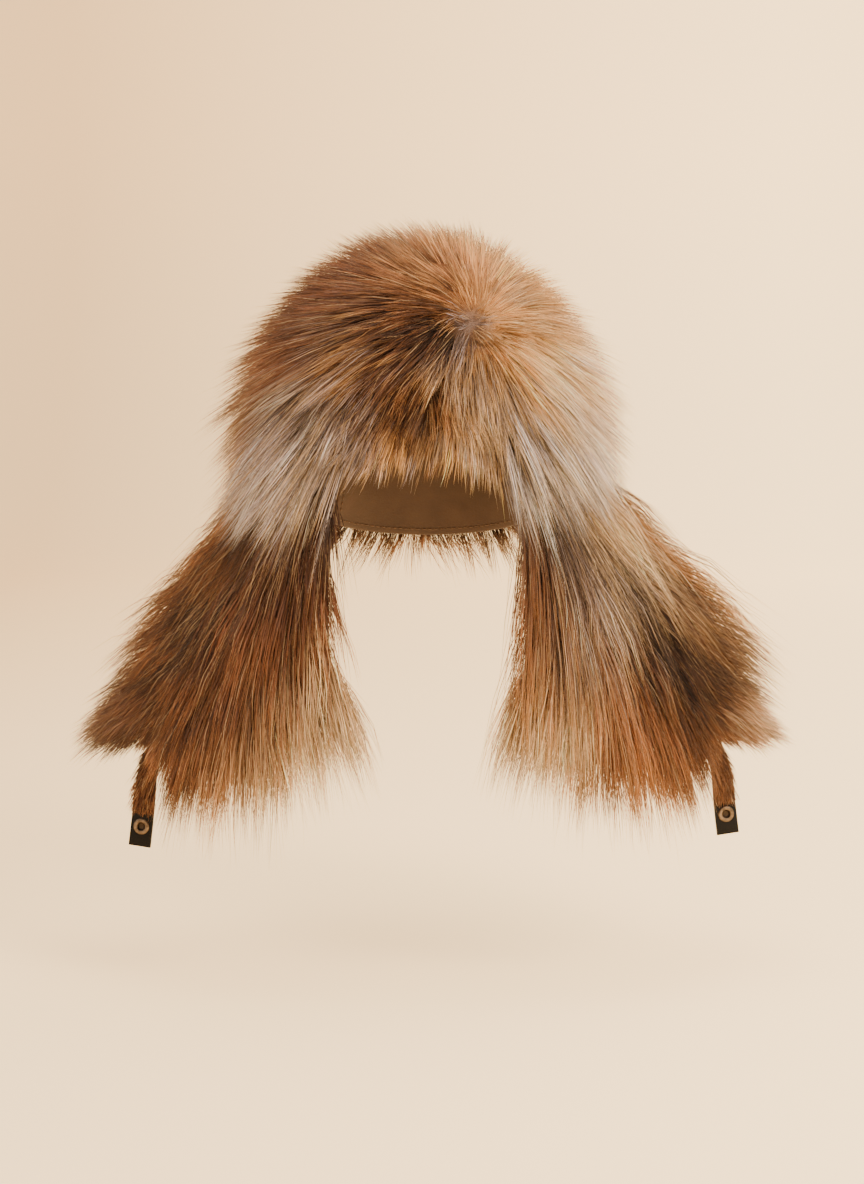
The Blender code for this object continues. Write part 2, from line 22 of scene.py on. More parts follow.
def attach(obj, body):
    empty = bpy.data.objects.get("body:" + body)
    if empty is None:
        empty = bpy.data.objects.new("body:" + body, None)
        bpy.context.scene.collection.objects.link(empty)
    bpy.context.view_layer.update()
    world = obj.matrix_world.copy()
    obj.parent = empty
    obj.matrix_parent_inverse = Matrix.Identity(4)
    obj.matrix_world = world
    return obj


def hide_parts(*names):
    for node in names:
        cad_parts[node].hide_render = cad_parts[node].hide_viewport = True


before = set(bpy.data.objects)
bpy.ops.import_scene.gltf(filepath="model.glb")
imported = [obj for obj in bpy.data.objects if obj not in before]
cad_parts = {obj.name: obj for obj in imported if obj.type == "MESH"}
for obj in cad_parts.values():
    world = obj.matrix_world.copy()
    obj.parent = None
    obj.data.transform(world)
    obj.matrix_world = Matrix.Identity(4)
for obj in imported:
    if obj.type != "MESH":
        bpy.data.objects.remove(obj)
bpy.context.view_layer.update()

log = logging.getLogger("ushanka")

Array = np.ndarray
Numbers = Array | float
Surface = Callable[[Array, Array, Numbers], Array]
Depth = Callable[[Array, Array], Array]
Rgb = tuple[float, float, float]
Point = tuple[float, float, float]
Span = tuple[tuple[float, float], tuple[float, float]]
Chance = np.random.Generator
Net = bmesh.types.BMesh
Material = bpy.types.Material
Socket = bpy.types.NodeSocket
Inputs = dict[str | int, Socket | float | tuple[float, ...]]

TINY = 1e-12
SMALL_STEP = 1e-4
MERGE_STEP = 1e-6
COLOUR_NAME = "fur_colour"
BAKE_MAP = "OFBake"
WHOLE_PANEL = ((-1, -1), (1, 1))
TRIES_FOR_ROOT = 6


class Side(Enum):
    """Which side of the hat, as the front view shows it."""

    LEFT = -1
    RIGHT = 1

    @property
    def word(self) -> str:
        """The side's word in the nodes' names."""
        return self.name.lower()

    def pick(self, left: object, right: object) -> object:
        """One of two values, by the side."""
        return left if self is Side.LEFT else right


def unit(rows: Array) -> Array:
    """Rows of vectors at length one."""
    return rows / np.maximum(np.linalg.norm(rows, axis=-1, keepdims=True), TINY)


def column(values: Array) -> Array:
    """A row of numbers as one column, to scale rows of vectors by."""
    return np.asarray(values)[:, None]


def between(low: float, high: float, share: Array) -> Array:
    """Values from low to high by a share."""
    return low + (high - low) * share


def way(along: Array) -> Array:
    """The share of the way along a panel, whose coordinate runs from -1 to 1."""
    return (along + 1) / 2


def alike(count: int, *values: float) -> Array:
    """A row for each value, which is the same for all of the count."""
    return np.full((len(values), count), column(values))


@dataclass(frozen=True)
class Walls:
    """How far each layer's faces lie outside the shell's inner face."""

    leather: float = 0.003
    fur_in: float = 0.0034
    fur_out: float = 0.0056
    visor_in: float = 0.0060
    visor_fur_in: float = 0.0094
    visor_fur_out: float = 0.0116


WALLS = Walls()


@dataclass(frozen=True)
class HatShape:
    """The surfaces that the leather and the pelts lie on, with the driving sizes of the solids.

    A pair for the flaps or the nape has its value at the rim first, and the spreads have the left side's
    first.
    """

    half_width: float = 0.080
    half_depth: float = 0.100
    height: float = 0.135
    bulge: float = 0.12
    squareness: float = 2.5
    visor_half_turn: float = pi / 4
    visor_foot: float = radians(0.6)
    visor_top: float = radians(27)
    visor_corner: float = 0.3
    visor_corner_power: int = 4
    seam_gap: float = 0.0004
    flap_length: float = 0.205
    flap_corner_loss: float = 0.20
    flap_corner_power: float = 2.2
    flap_front: tuple[float, float] = (radians(46), radians(14))
    flap_back: tuple[float, float] = (radians(128), radians(116))
    flap_flare: float = 0.45
    flap_depth_flare: float = 0.15
    spreads: tuple[float, float] = (0.95, 1.25)
    nape_half_turn: tuple[float, float] = (radians(48), radians(44))
    nape_length: float = 0.070
    nape_corner_loss: float = 0.16
    nape_flare: float = 0.35

    def crown(self, turn: Array, rise: Array, out: Numbers) -> Array:
        """Points on the crown.

        Args:
            turn: Angles from the front towards +X.
            rise: Angles from the rim towards the top.
            out: How far outside the shell's inner face.

        Returns:
            One point a row.
        """
        power = 2 / self.squareness
        flat = np.maximum(0.0, np.cos(rise)) ** power
        up = np.maximum(0.0, np.sin(rise)) ** power
        wide = 1 + self.bulge * np.sin(pi * up)
        x = (self.half_width * wide + out) * flat * np.sin(turn)
        y = -(self.half_depth * wide + out) * flat * np.cos(turn)
        return np.stack((x, y, (self.height + out) * up), -1)

    def visor(self, across: Array, along: Array, out: Numbers) -> Array:
        """Points on the turned-up visor, across and along it from -1 to 1."""
        top = self.visor_top * (1 - self.visor_corner * across**self.visor_corner_power)
        return self.crown(across * self.visor_half_turn, between(self.visor_foot, top, way(along)), out)

    def hanging(self, turn: Array, drop: Array, reach_x: Array, reach_y: Array, out: Numbers) -> Array:
        """Points on a panel that hangs from the rim and flares."""
        x = (reach_x + out) * np.sin(turn)
        y = -(reach_y + out) * np.cos(turn)
        return np.stack((x, y, -self.seam_gap - drop), -1)

    def ear_flap(self, side: Side, across: Array, along: Array, out: Numbers) -> Array:
        """Points on an ear flap.

        Args:
            side: Which flap.
            across: From its front edge, -1, to its back edge, 1.
            along: From the rim, -1, to its hem, 1.
            out: How far outside its inner face.

        Returns:
            One point a row.
        """
        cut = 1 - self.flap_corner_loss * np.abs(across) ** self.flap_corner_power
        drop = self.flap_length * cut * way(along)
        low = drop / self.flap_length
        front = between(*self.flap_front, low)
        back = between(*self.flap_back, low)
        turn = (front + back) / 2 + across * (back - front) / 2
        reach_x = self.half_width + self.flap_flare * drop + side.pick(*self.spreads) * drop**2
        reach_y = self.half_depth + self.flap_depth_flare * drop
        return self.hanging(turn, drop, reach_x, reach_y, out) * np.array((side.value, 1, 1))

    def flap_of(self, side: Side) -> Surface:
        """The surface of one ear flap."""
        return partial(self.ear_flap, side)

    def nape(self, across: Array, along: Array, out: Numbers) -> Array:
        """Points on the nape flap: across from -X to +X, and along from the rim."""
        drop = self.nape_length * (1 - self.nape_corner_loss * across**2) * way(along)
        turn = pi - across * between(*self.nape_half_turn, drop / self.nape_length)
        flare = self.nape_flare * drop
        return self.hanging(turn, drop, self.half_width + flare, self.half_depth + flare, out)


HAT = HatShape()


@dataclass(frozen=True)
class Footing:
    """Where hairs are rooted: points with their outward normals and the surface's own directions."""

    place: tuple[Array, Array]
    point: Array
    normal: Array
    right: Array
    ahead: Array
    area: Array

    def take(self, chosen: Array) -> "Footing":
        """The same for some of the points."""
        place = (self.place[0][chosen], self.place[1][chosen])
        rest = (self.point, self.normal, self.right, self.ahead, self.area)
        return Footing(place, *(rows[chosen] for rows in rest))


def stand_on(surface: Surface, first: Array, second: Array, out: Numbers) -> Footing:
    """Finds points of a surface with their directions.

    Args:
        surface: Gives points for two surface coordinates and a distance.
        first: The coordinate across the surface.
        second: The coordinate along the surface.
        out: The distance outside its inner face.

    Returns:
        The points' footing.
    """
    point = surface(first, second, out)
    step = SMALL_STEP
    right = (surface(first + step, second, out) - surface(first - step, second, out)) / (2 * step)
    ahead = (surface(first, second + step, out) - surface(first, second - step, out)) / (2 * step)
    normal = np.cross(right, ahead)
    area = np.linalg.norm(normal, axis=1)
    normal = unit(normal)
    outward = surface(first, second, out + step) - point
    normal *= column(np.where((normal * outward).sum(1) < 0, -1.0, 1.0))
    return Footing((first, second), point, normal, unit(right), unit(ahead), area)


def scatter(chance: Chance, surface: Surface, span: Span, out: float, count: int) -> Footing:
    """Spreads points evenly over a surface.

    Args:
        chance: The seeded source of numbers.
        surface: What they lie on.
        span: The lowest and highest of both surface coordinates.
        out: The distance outside its inner face.
        count: How many points.

    Returns:
        Their footing.
    """
    low, high = span
    tried = chance.uniform(low, high, (TRIES_FOR_ROOT * count, 2))
    found = stand_on(surface, tried[:, 0], tried[:, 1], out)
    kept = np.flatnonzero(found.area > chance.uniform(0, found.area.max(), len(tried)))
    return found.take(kept[:count])


@dataclass(frozen=True)
class StrapRun:
    """A strap's run: along its flap's inner face, then hanging and turning its face to the front."""

    side: Side
    width: float = 0.016
    thick: float = 0.0022
    overlap: float = 0.024
    hem_margin: float = 0.0015
    seat_gap: float = 0.0004
    step: float = 0.006
    ends: tuple[float, float] = (-0.282, -0.273)
    lean: float = 0.12
    facing_lean: float = 0.20
    bend_haste: float = 2.2
    turn_haste: float = 1.25
    bare_steps: int = 4

    @property
    def seated(self) -> int:
        """How many steps of the strap lie against its flap."""
        return round(self.overlap / self.step)

    def stations(self) -> tuple[Array, Array, Array]:
        """The strap's middles, outward directions and headings, a row for each station."""
        share = np.arange(self.seated + 1) / self.seated
        drop = HAT.flap_length - self.hem_margin - self.overlap * (1 - share)
        along = 2 * drop / HAT.flap_length - 1
        sewn = stand_on(HAT.flap_of(self.side), np.zeros(len(along)), along, -self.seat_gap - self.thick / 2)
        middles, facings, headings = list(sewn.point), list(sewn.normal), list(sewn.ahead)
        hung = unit(np.array((self.lean * self.side.value, 0.0, -1.0)))
        front = unit(np.array((self.facing_lean * self.side.value, -1.0, 0.0)))
        point, facing_first, heading_first = middles[-1], facings[-1], headings[-1]
        end = self.side.pick(*self.ends)
        steps = round((point[2] - end) / self.step)
        fall = (point[2] - end) / steps
        for step in range(1, steps + 1):
            bent = min(1.0, self.bend_haste * step / steps)
            turned = min(1.0, self.turn_haste * step / steps)
            heading = unit(heading_first * (1 - bent) + hung * bent)
            point = point + heading * (fall / -heading[2])
            facing = facing_first * (1 - turned) + front * turned
            middles.append(point)
            facings.append(unit(facing - heading * (facing @ heading)))
            headings.append(heading)
        return np.array(middles), np.array(facings), np.array(headings)

    def face(self, across: Array, along: Array, out: Numbers) -> Array:
        """Points on the furred stretch of the strap: across its width, along it from the hem down."""
        middles, facings, headings = self.stations()
        first, last = self.seated + 1, len(middles) - 1 - self.bare_steps
        spot = between(first, last, way(along))
        numbers = np.arange(len(middles))

        def at(rows: Array) -> Array:
            """Rows of the stations at these spots."""
            return np.stack([np.interp(spot, numbers, rows[:, axis]) for axis in range(3)], -1)

        facing = unit(at(facings))
        sideways = unit(np.cross(at(headings), facing))
        out = np.broadcast_to(out, spot.shape)
        return at(middles) + sideways * column(across * self.width / 2) + facing * column(out)


class Tone(Enum):
    """The fur's own colours, as linear red, green and blue."""

    SOOT = (0.016, 0.0080, 0.0055)
    UMBER = (0.042, 0.019, 0.0115)
    DARK_RUST = (0.096, 0.035, 0.0150)
    RUST = (0.195, 0.071, 0.0260)
    TAN = (0.270, 0.150, 0.085)
    ORANGE = (0.35, 0.150, 0.055)
    GOLD = (0.60, 0.315, 0.110)
    BLOND = (0.74, 0.480, 0.250)
    CREAM = (0.86, 0.700, 0.500)
    TAUPE = (0.200, 0.142, 0.124)
    ASH = (0.40, 0.325, 0.305)
    LILAC = (0.64, 0.575, 0.680)
    FROST = (0.90, 0.870, 0.960)


@dataclass(frozen=True)
class Patch:
    """A stretch of fur: its middle, how far it reaches, its hairs' colours, and how much they differ."""

    middle: Point
    reach: float
    colours: tuple[Rgb, ...]
    streak: float


Chart = tuple[Patch, ...]


def chart_of(*rows: tuple) -> Chart:
    """Makes a chart.

    Args:
        rows: A patch each: x, y, z and reach in millimetres, the tones of a hair's root, middle and tip,
            and its streak.

    Returns:
        The patches, in metres.
    """
    patches = []
    for *sizes, tones, streak in rows:
        x, y, z, reach = (size / 1000 for size in sizes)
        patches.append(Patch((x, y, z), reach, tuple(Tone[name].value for name in tones.split()), streak))
    return tuple(patches)


CROWN_CHART = chart_of(
    # x, y, z and reach in millimetres, tones from root to tip, streak; top, from left to right
    (-84, -70, 104, 40, "UMBER DARK_RUST RUST", 0),
    (-41, -60, 135, 36, "DARK_RUST RUST ORANGE", 0),
    (4, -55, 145, 34, "RUST ORANGE GOLD", 0),
    (67, -40, 130, 40, "ORANGE GOLD GOLD", 0),
    # left side
    (-124, -50, 50, 40, "UMBER RUST TAN", 0),
    (-145, -20, 14, 35, "UMBER TAN TAN", 0),
    (-63, -120, 79, 22, "SOOT DARK_RUST GOLD", 0),
    (-84, -115, 60, 18, "SOOT UMBER ASH", 0.5),
    (-95, -110, 36, 24, "UMBER TAUPE CREAM", 1.2),
    (-70, -135, 20, 26, "SOOT TAUPE LILAC", 1.0),
    # dark middle, low at the front
    (-12, -130, 78, 20, "SOOT SOOT RUST", 0),
    (-30, -148, 45, 22, "SOOT UMBER DARK_RUST", 0),
    (-8, -155, 14, 22, "SOOT DARK_RUST ORANGE", 0),
    (4, -155, -12, 26, "DARK_RUST GOLD BLOND", 0.5),
    # the whorl, and the pale right side
    (42, -110, 92, 12, "TAUPE TAUPE LILAC", 0),
    (32, -145, 56, 18, "SOOT TAUPE GOLD", 1.0),
    (53, -145, 20, 25, "UMBER ASH BLOND", 1.0),
    (80, -115, 60, 26, "ORANGE GOLD BLOND", 0),
    (100, -80, 90, 36, "GOLD BLOND CREAM", 0),
    (128, -50, 50, 34, "GOLD BLOND FROST", 0),
    (142, -45, 5, 34, "LILAC CREAM FROST", 0),
    (100, -110, 12, 24, "UMBER ASH CREAM", 1.0),
    (100, -112, -26, 24, "SOOT UMBER FROST", 1.4),
    (120, -85, -45, 28, "SOOT TAUPE ASH", 1.0),
    # the ash-grey band at the left, with lilac tips
    (-117, -95, -8, 28, "UMBER ASH LILAC", 1.2),
    (-140, -55, -32, 30, "SOOT TAUPE FROST", 1.2),
    (-90, -125, -30, 26, "UMBER ASH LILAC", 1.2),
    (-60, -145, -20, 26, "UMBER TAUPE BLOND", 0.9),
    # sides and back
    (-130, 60, 20, 60, "UMBER RUST GOLD", 0),
    (130, 60, 20, 60, "DARK_RUST GOLD CREAM", 0),
    (0, 150, 40, 60, "UMBER RUST ORANGE", 0),
    (0, 110, 120, 50, "SOOT DARK_RUST ORANGE", 0),
    (0, 150, -60, 60, "UMBER RUST BLOND", 0),
)

LEFT_BAND_CHART = chart_of(
    (-150, -60, -30, 26, "UMBER ASH FROST", 0.7),
    (-125, -95, -40, 18, "UMBER ASH LILAC", 1.2),
    (-110, -115, -20, 18, "SOOT ASH CREAM", 1.4),
    (-95, -130, -45, 18, "SOOT ASH LILAC", 1.4),
    (-75, -140, -30, 18, "SOOT TAUPE BLOND", 1.2),
)

RIGHT_BAND_CHART = chart_of(
    (70, -140, -30, 18, "SOOT LILAC FROST", 1.8),
    (90, -130, -40, 16, "SOOT LILAC FROST", 1.8),
    (105, -115, -20, 18, "SOOT UMBER CREAM", 1.8),
    (130, -80, -15, 28, "UMBER ASH FROST", 0.8),
)

LEFT_CHART = chart_of(
    (-105, -110, -70, 36, "SOOT UMBER DARK_RUST", 0.5),
    (-180, -60, -110, 40, "SOOT UMBER DARK_RUST", 0.5),
    (-205, -60, -165, 34, "SOOT UMBER RUST", 0.5),
    (-140, -110, -160, 34, "UMBER DARK_RUST RUST", 0),
    (-80, -120, -125, 34, "UMBER DARK_RUST RUST", 0),
    (-105, -120, -175, 26, "SOOT DARK_RUST ORANGE", 0),
    (-175, -80, -225, 32, "UMBER DARK_RUST ORANGE", 0),
    (-120, -110, -225, 26, "DARK_RUST ORANGE BLOND", 0),
    (-70, -120, -210, 38, "GOLD BLOND CREAM", 0),
    (-235, -30, -190, 35, "SOOT DARK_RUST TAN", 0),
    (-150, 60, -120, 60, "UMBER RUST ORANGE", 0),
)

RIGHT_CHART = chart_of(
    (120, -105, -60, 34, "UMBER TAUPE BLOND", 0.8),
    (155, -50, -60, 34, "TAUPE BLOND CREAM", 0.6),
    (195, -50, -100, 30, "UMBER TAN BLOND", 0.6),
    (125, -115, -125, 32, "UMBER ASH BLOND", 0.8),
    (195, -70, -140, 50, "SOOT SOOT UMBER", 0),
    (250, -30, -170, 34, "DARK_RUST ORANGE CREAM", 0),
    (150, -105, -200, 30, "UMBER RUST ORANGE", 0),
    (140, -110, -235, 26, "DARK_RUST ORANGE GOLD", 0),
    (80, -120, -150, 26, "UMBER RUST GOLD", 0),
    (80, -120, -90, 26, "SOOT DARK_RUST ORANGE", 0),
    (70, -120, -200, 26, "TAUPE BLOND CREAM", 0),
    (205, -60, -215, 30, "UMBER DARK_RUST ORANGE", 0),
    (160, 60, -120, 60, "UMBER RUST GOLD", 0),
)


@dataclass(frozen=True)
class Coat:
    """How the hair of a pelt is cut, gathered and thinned."""

    locks: int
    tufts: int
    guard_hairs: int
    under_hairs: int
    gather: float = 0.58
    gather_spread: tuple[float, float] = (0.6, 1.2)
    gather_power: float = 1.2
    gather_most: float = 0.95
    width: float = 0.00054
    width_spread: tuple[float, float] = (0.6, 1.3)
    root_depth: float = 0.001
    under_share: float = 0.62
    uneven: float = 0.14
    trim: tuple[float, float] = (0.88, 1.06)
    stray: float = 0.09
    tuft_stray: float = 1.2
    lock_stray: float = 0.13
    swing: float = 0.0022
    swing_back: float = 0.4
    flyaway: float = 0.07
    flyaway_gain: float = 1.12
    flyaway_gather: float = 0.15
    flyaway_width: float = 0.6


# how sharply the patches of a chart part from one another
CHART_SHARPNESS = 1.6
# where along a hair its rings lie
GUARD_RINGS = np.array((0.30, 0.68))
UNDER_RINGS = np.array((0.38,))
HAIR_SIDES = 3
# a hair's width, and its tone from root, 0, over middle, 1, to tip, 2, along its length
TAPER_SPOTS, TAPER_WIDTHS = (0, 0.2, 0.5, 0.8, 1), (0.8, 1.0, 0.9, 0.6, 0)
TONE_SPOTS, TONE_STEPS = (0, 0.30, 0.74, 1), (0, 0.80, 1.30, 2)
# how much of the hairs' root and middle colours the dense fur below them has
ROOT_SHARE, MIDDLE_SHARE = 0.8, 0.1
# the margin round a needle's cell on the flat map
BAKE_INSET = 0.08


@dataclass
class Needles:
    """Thin closed needles before they are a mesh: their paths, their ring widths and their colours."""

    path: Array
    side: Array
    width: Array
    colour: Array


class NeedleMesh:
    """Joins many needles, such as hairs or stitches, each with a point at both ends, into one mesh."""

    def __init__(self, sides: int) -> None:
        """Starts with no needle, for needles with this many sides."""
        self.sides = sides
        self.points: list[Array] = []
        self.colours: list[Array] = []
        self.faces: list[Array] = []
        self.maps: list[tuple[Array, int]] = []
        self.corners = 0
        self.count = 0

    def add(self, needles: Needles) -> None:
        """Adds needles that share a number of rings."""
        number, knots, _ = needles.path.shape
        rings = knots - 2
        heading = unit(needles.path[:, 2:] - needles.path[:, :-2])
        side = np.repeat(needles.side[:, None], rings, 1)
        side = unit(side - heading * (side * heading).sum(-1, keepdims=True))
        over = np.cross(heading, side)
        angles = 2 * pi * np.arange(self.sides) / self.sides
        spokes = side[:, :, None] * np.cos(angles)[:, None] + over[:, :, None] * np.sin(angles)[:, None]
        ring = needles.path[:, 1:-1, None] + spokes * (needles.width / 2)[:, :, None, None]
        ring = ring.reshape(number, rings * self.sides, 3)
        points = np.concatenate((needles.path[:, :1], ring, needles.path[:, -1:]), 1)
        middle = np.repeat(needles.colour[:, 1:-1], self.sides, 1)
        colours = np.concatenate((needles.colour[:, :1], middle, needles.colour[:, -1:]), 1)
        pattern, spots = self.pattern(rings)
        each = points.shape[1]
        starts = self.corners + each * np.arange(number)
        self.faces.append((starts[:, None, None] + pattern).reshape(-1, 3))
        self.points.append(points.reshape(-1, 3))
        self.colours.append(colours.reshape(-1, 3))
        self.maps.append((spots, number))
        self.corners += each * number
        self.count += number

    def pattern(self, rings: int) -> tuple[Array, Array]:
        """One needle's triangles, by its points' numbers, and their corners in a unit square.

        Args:
            rings: How many rings lie between its two points.

        Returns:
            The triangles, and a flat place for each of their corners.
        """
        sides = self.sides
        tip = rings * sides + 1
        first, last = 1 / (rings + 1), rings / (rings + 1)
        triangles, spots = [], []
        for at in range(sides):
            after = (at + 1) % sides
            left, right = at / sides, (at + 1) / sides
            half = (left + right) / 2
            triangles.append((0, 1 + after, 1 + at))
            spots.append(((half, 0), (right, first), (left, first)))
            for ring in range(rings - 1):
                low, high = 1 + ring * sides, 1 + (ring + 1) * sides
                down, up = (ring + 1) / (rings + 1), (ring + 2) / (rings + 1)
                triangles += [(low + at, low + after, high + after), (low + at, high + after, high + at)]
                spots += [((left, down), (right, down), (right, up)), ((left, down), (right, up), (left, up))]
            top = 1 + (rings - 1) * sides
            triangles.append((top + at, top + after, tip))
            spots.append(((left, last), (right, last), (half, 1)))
        return np.array(triangles), np.array(spots)

    def bake_places(self) -> Array:
        """A flat cell for each needle, so that each keeps its own colours when they are baked."""
        side = int(np.ceil(np.sqrt(self.count)))
        places, done = [], 0
        for spots, number in self.maps:
            cells = done + np.arange(number)
            corner = np.stack((cells % side, cells // side), -1)[:, None, None]
            spread = BAKE_INSET + spots * (1 - 2 * BAKE_INSET)
            places.append(((corner + spread) / side).reshape(-1, 2))
            done += number
        return np.concatenate(places)

    def build(self, name: str, material: Material) -> bpy.types.Object:
        """Makes the mesh and its object.

        Args:
            name: The piece's name.
            material: Its finish, which may read the colours by name.

        Returns:
            The new piece.
        """
        points = np.concatenate(self.points)
        faces = np.concatenate(self.faces)
        mesh = bpy.data.meshes.new(name)
        mesh.vertices.add(len(points))
        mesh.vertices.foreach_set("co", points.astype(np.float32).ravel())
        mesh.loops.add(faces.size)
        mesh.loops.foreach_set("vertex_index", faces.astype(np.int32).ravel())
        mesh.polygons.add(len(faces))
        mesh.polygons.foreach_set("loop_start", np.arange(0, faces.size, 3, dtype=np.int32))
        mesh.update(calc_edges=True)
        mesh.shade_smooth()
        store_colours(mesh, np.concatenate(self.colours))
        flat = mesh.uv_layers.new(name=BAKE_MAP)
        flat.data.foreach_set("uv", self.bake_places().astype(np.float32).ravel())
        mesh.materials.append(material)
        return placed(name, mesh)


def placed(name: str, data: bpy.types.ID) -> bpy.types.Object:
    """A new object in the scene."""
    made = bpy.data.objects.new(name, data)
    bpy.context.scene.collection.objects.link(made)
    return made


def store_colours(mesh: bpy.types.Mesh, colours: Array) -> None:
    """Keeps a colour for each corner of a mesh, where the fur's finish finds it."""
    layer = mesh.attributes.new(COLOUR_NAME, "FLOAT_COLOR", "POINT")
    rgba = np.concatenate((colours, np.ones((len(colours), 1))), 1)
    layer.data.foreach_set("color", rgba.astype(np.float32).ravel())


def dress(piece: bpy.types.Object, slot: str, *nodes: str) -> None:
    """Makes a finished piece part of the hat and logs it.

    Args:
        piece: The piece.
        slot: The record's material slot that its finish belongs to; it is not used.
        nodes: The solids that it stands for.
    """
    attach(piece, "root")
    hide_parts(*nodes)
    piece.data.calc_loop_triangles()
    log.info("%s: %d triangles", piece.name, len(piece.data.loop_triangles))


@dataclass(frozen=True)
class Growth:
    """How hairs at some roots grow: their direction, length, steepness, droop, fall and sideways curl.

    The fall is the share of its sideways heading that a hair has lost by its tip.
    """

    flow: Array
    length: Array
    lift: Array
    sag: Array
    fall: Numbers = 0.0
    curl: float = 0.05
    lift_stray: float = 0.7

    def bend(self, lead: Array, side: Array, chance: Chance) -> Array:
        """How hairs leave their first direction by their tips.

        Args:
            lead: Their first directions.
            side: Their sideways directions.
            chance: The seeded source of numbers.

        Returns:
            A bend for each, as a share of its length.
        """
        curled = side * column(chance.normal(0, self.curl, len(side)))
        half_level = np.array((0.5, 0.5, 0))
        fallen = lead * half_level * column(np.broadcast_to(self.fall, len(lead)))
        return curled - fallen - column(self.sag) * np.array((0, 0, 1))

    def leads(self, footing: Footing, chance: Chance, stray: float, nudge: Array) -> tuple[Array, Array]:
        """The directions that hairs start in, and their sideways directions.

        Args:
            footing: The hairs' roots.
            chance: The seeded source of numbers.
            stray: How far directions differ from one another.
            nudge: How each is pushed aside, as a share of its flow's length.

        Returns:
            Unit vectors, a row for each hair.
        """
        normal = footing.normal
        strength = column(np.linalg.norm(self.flow, axis=1))
        loose = self.flow + (chance.normal(0, stray, self.flow.shape) + nudge) * strength
        flat = unit(loose - normal * column((loose * normal).sum(1)))
        lift = self.lift + chance.normal(0, stray * self.lift_stray, len(normal))
        lead = flat * column(np.cos(lift)) + normal * column(np.sin(lift))
        return lead, unit(np.cross(normal, flat))


def path_of(root: Array, lead: Array, bend: Array, length: Array, spots: Array) -> Array:
    """Points along hairs.

    Args:
        root: Where each starts.
        lead: The direction each starts in.
        bend: How each leaves that direction by its tip, as a share of its length.
        length: How long each is.
        spots: The shares of the length to give points for, one row for all or one for each.

    Returns:
        The points, by hair and then by spot.
    """
    spots = np.broadcast_to(spots, (len(root), spots.shape[-1]))[:, :, None]
    size = length[:, None, None]
    return root[:, None] + lead[:, None] * spots * size + bend[:, None] * spots**2 * size


def read_chart(chart: Chart, places: Array) -> tuple[Array, Array]:
    """Root, middle and tip colours at some places, mixed from the nearest patches, and how streaked they are.

    Args:
        chart: The patches.
        places: One point a row.

    Returns:
        The colours, by place, then by root, middle and tip, and a streak for each place.
    """
    middles = np.array([patch.middle for patch in chart])
    reaches = np.array([patch.reach for patch in chart])
    colours = np.array([patch.colours for patch in chart])
    away = np.linalg.norm(places[:, None] - middles, axis=2) / reaches
    nearest = away.min(1, keepdims=True)
    weight = np.exp(CHART_SHARPNESS * (nearest**2 - away**2))
    weight /= weight.sum(1, keepdims=True)
    return np.einsum("np,pkc->nkc", weight, colours), weight @ np.array([patch.streak for patch in chart])


@dataclass(frozen=True)
class Mottle:
    """How much the hairs of a chart differ from one another.

    A hair's place on the chart is a mix of its root's and its tip's, by their seen shares.
    """

    lock_shift: float = 0.010
    tuft_shift: float = 0.008
    hair_shift: float = 0.006
    lock_light: float = 0.20
    tuft_light: float = 0.22
    hair_light: float = 0.17
    dark_share: float = 0.08
    dark_light: float = 0.35
    pale_share: float = 0.06
    pale_own: float = 0.45
    pale_blond: float = 0.5
    streak_light: float = 0.18
    streak_dark: float = 0.20
    streak_pale: float = 0.12
    seen_root: float = 0.4
    seen_tip: float = 0.6
    limits: tuple[float, float] = (0.003, 0.96)


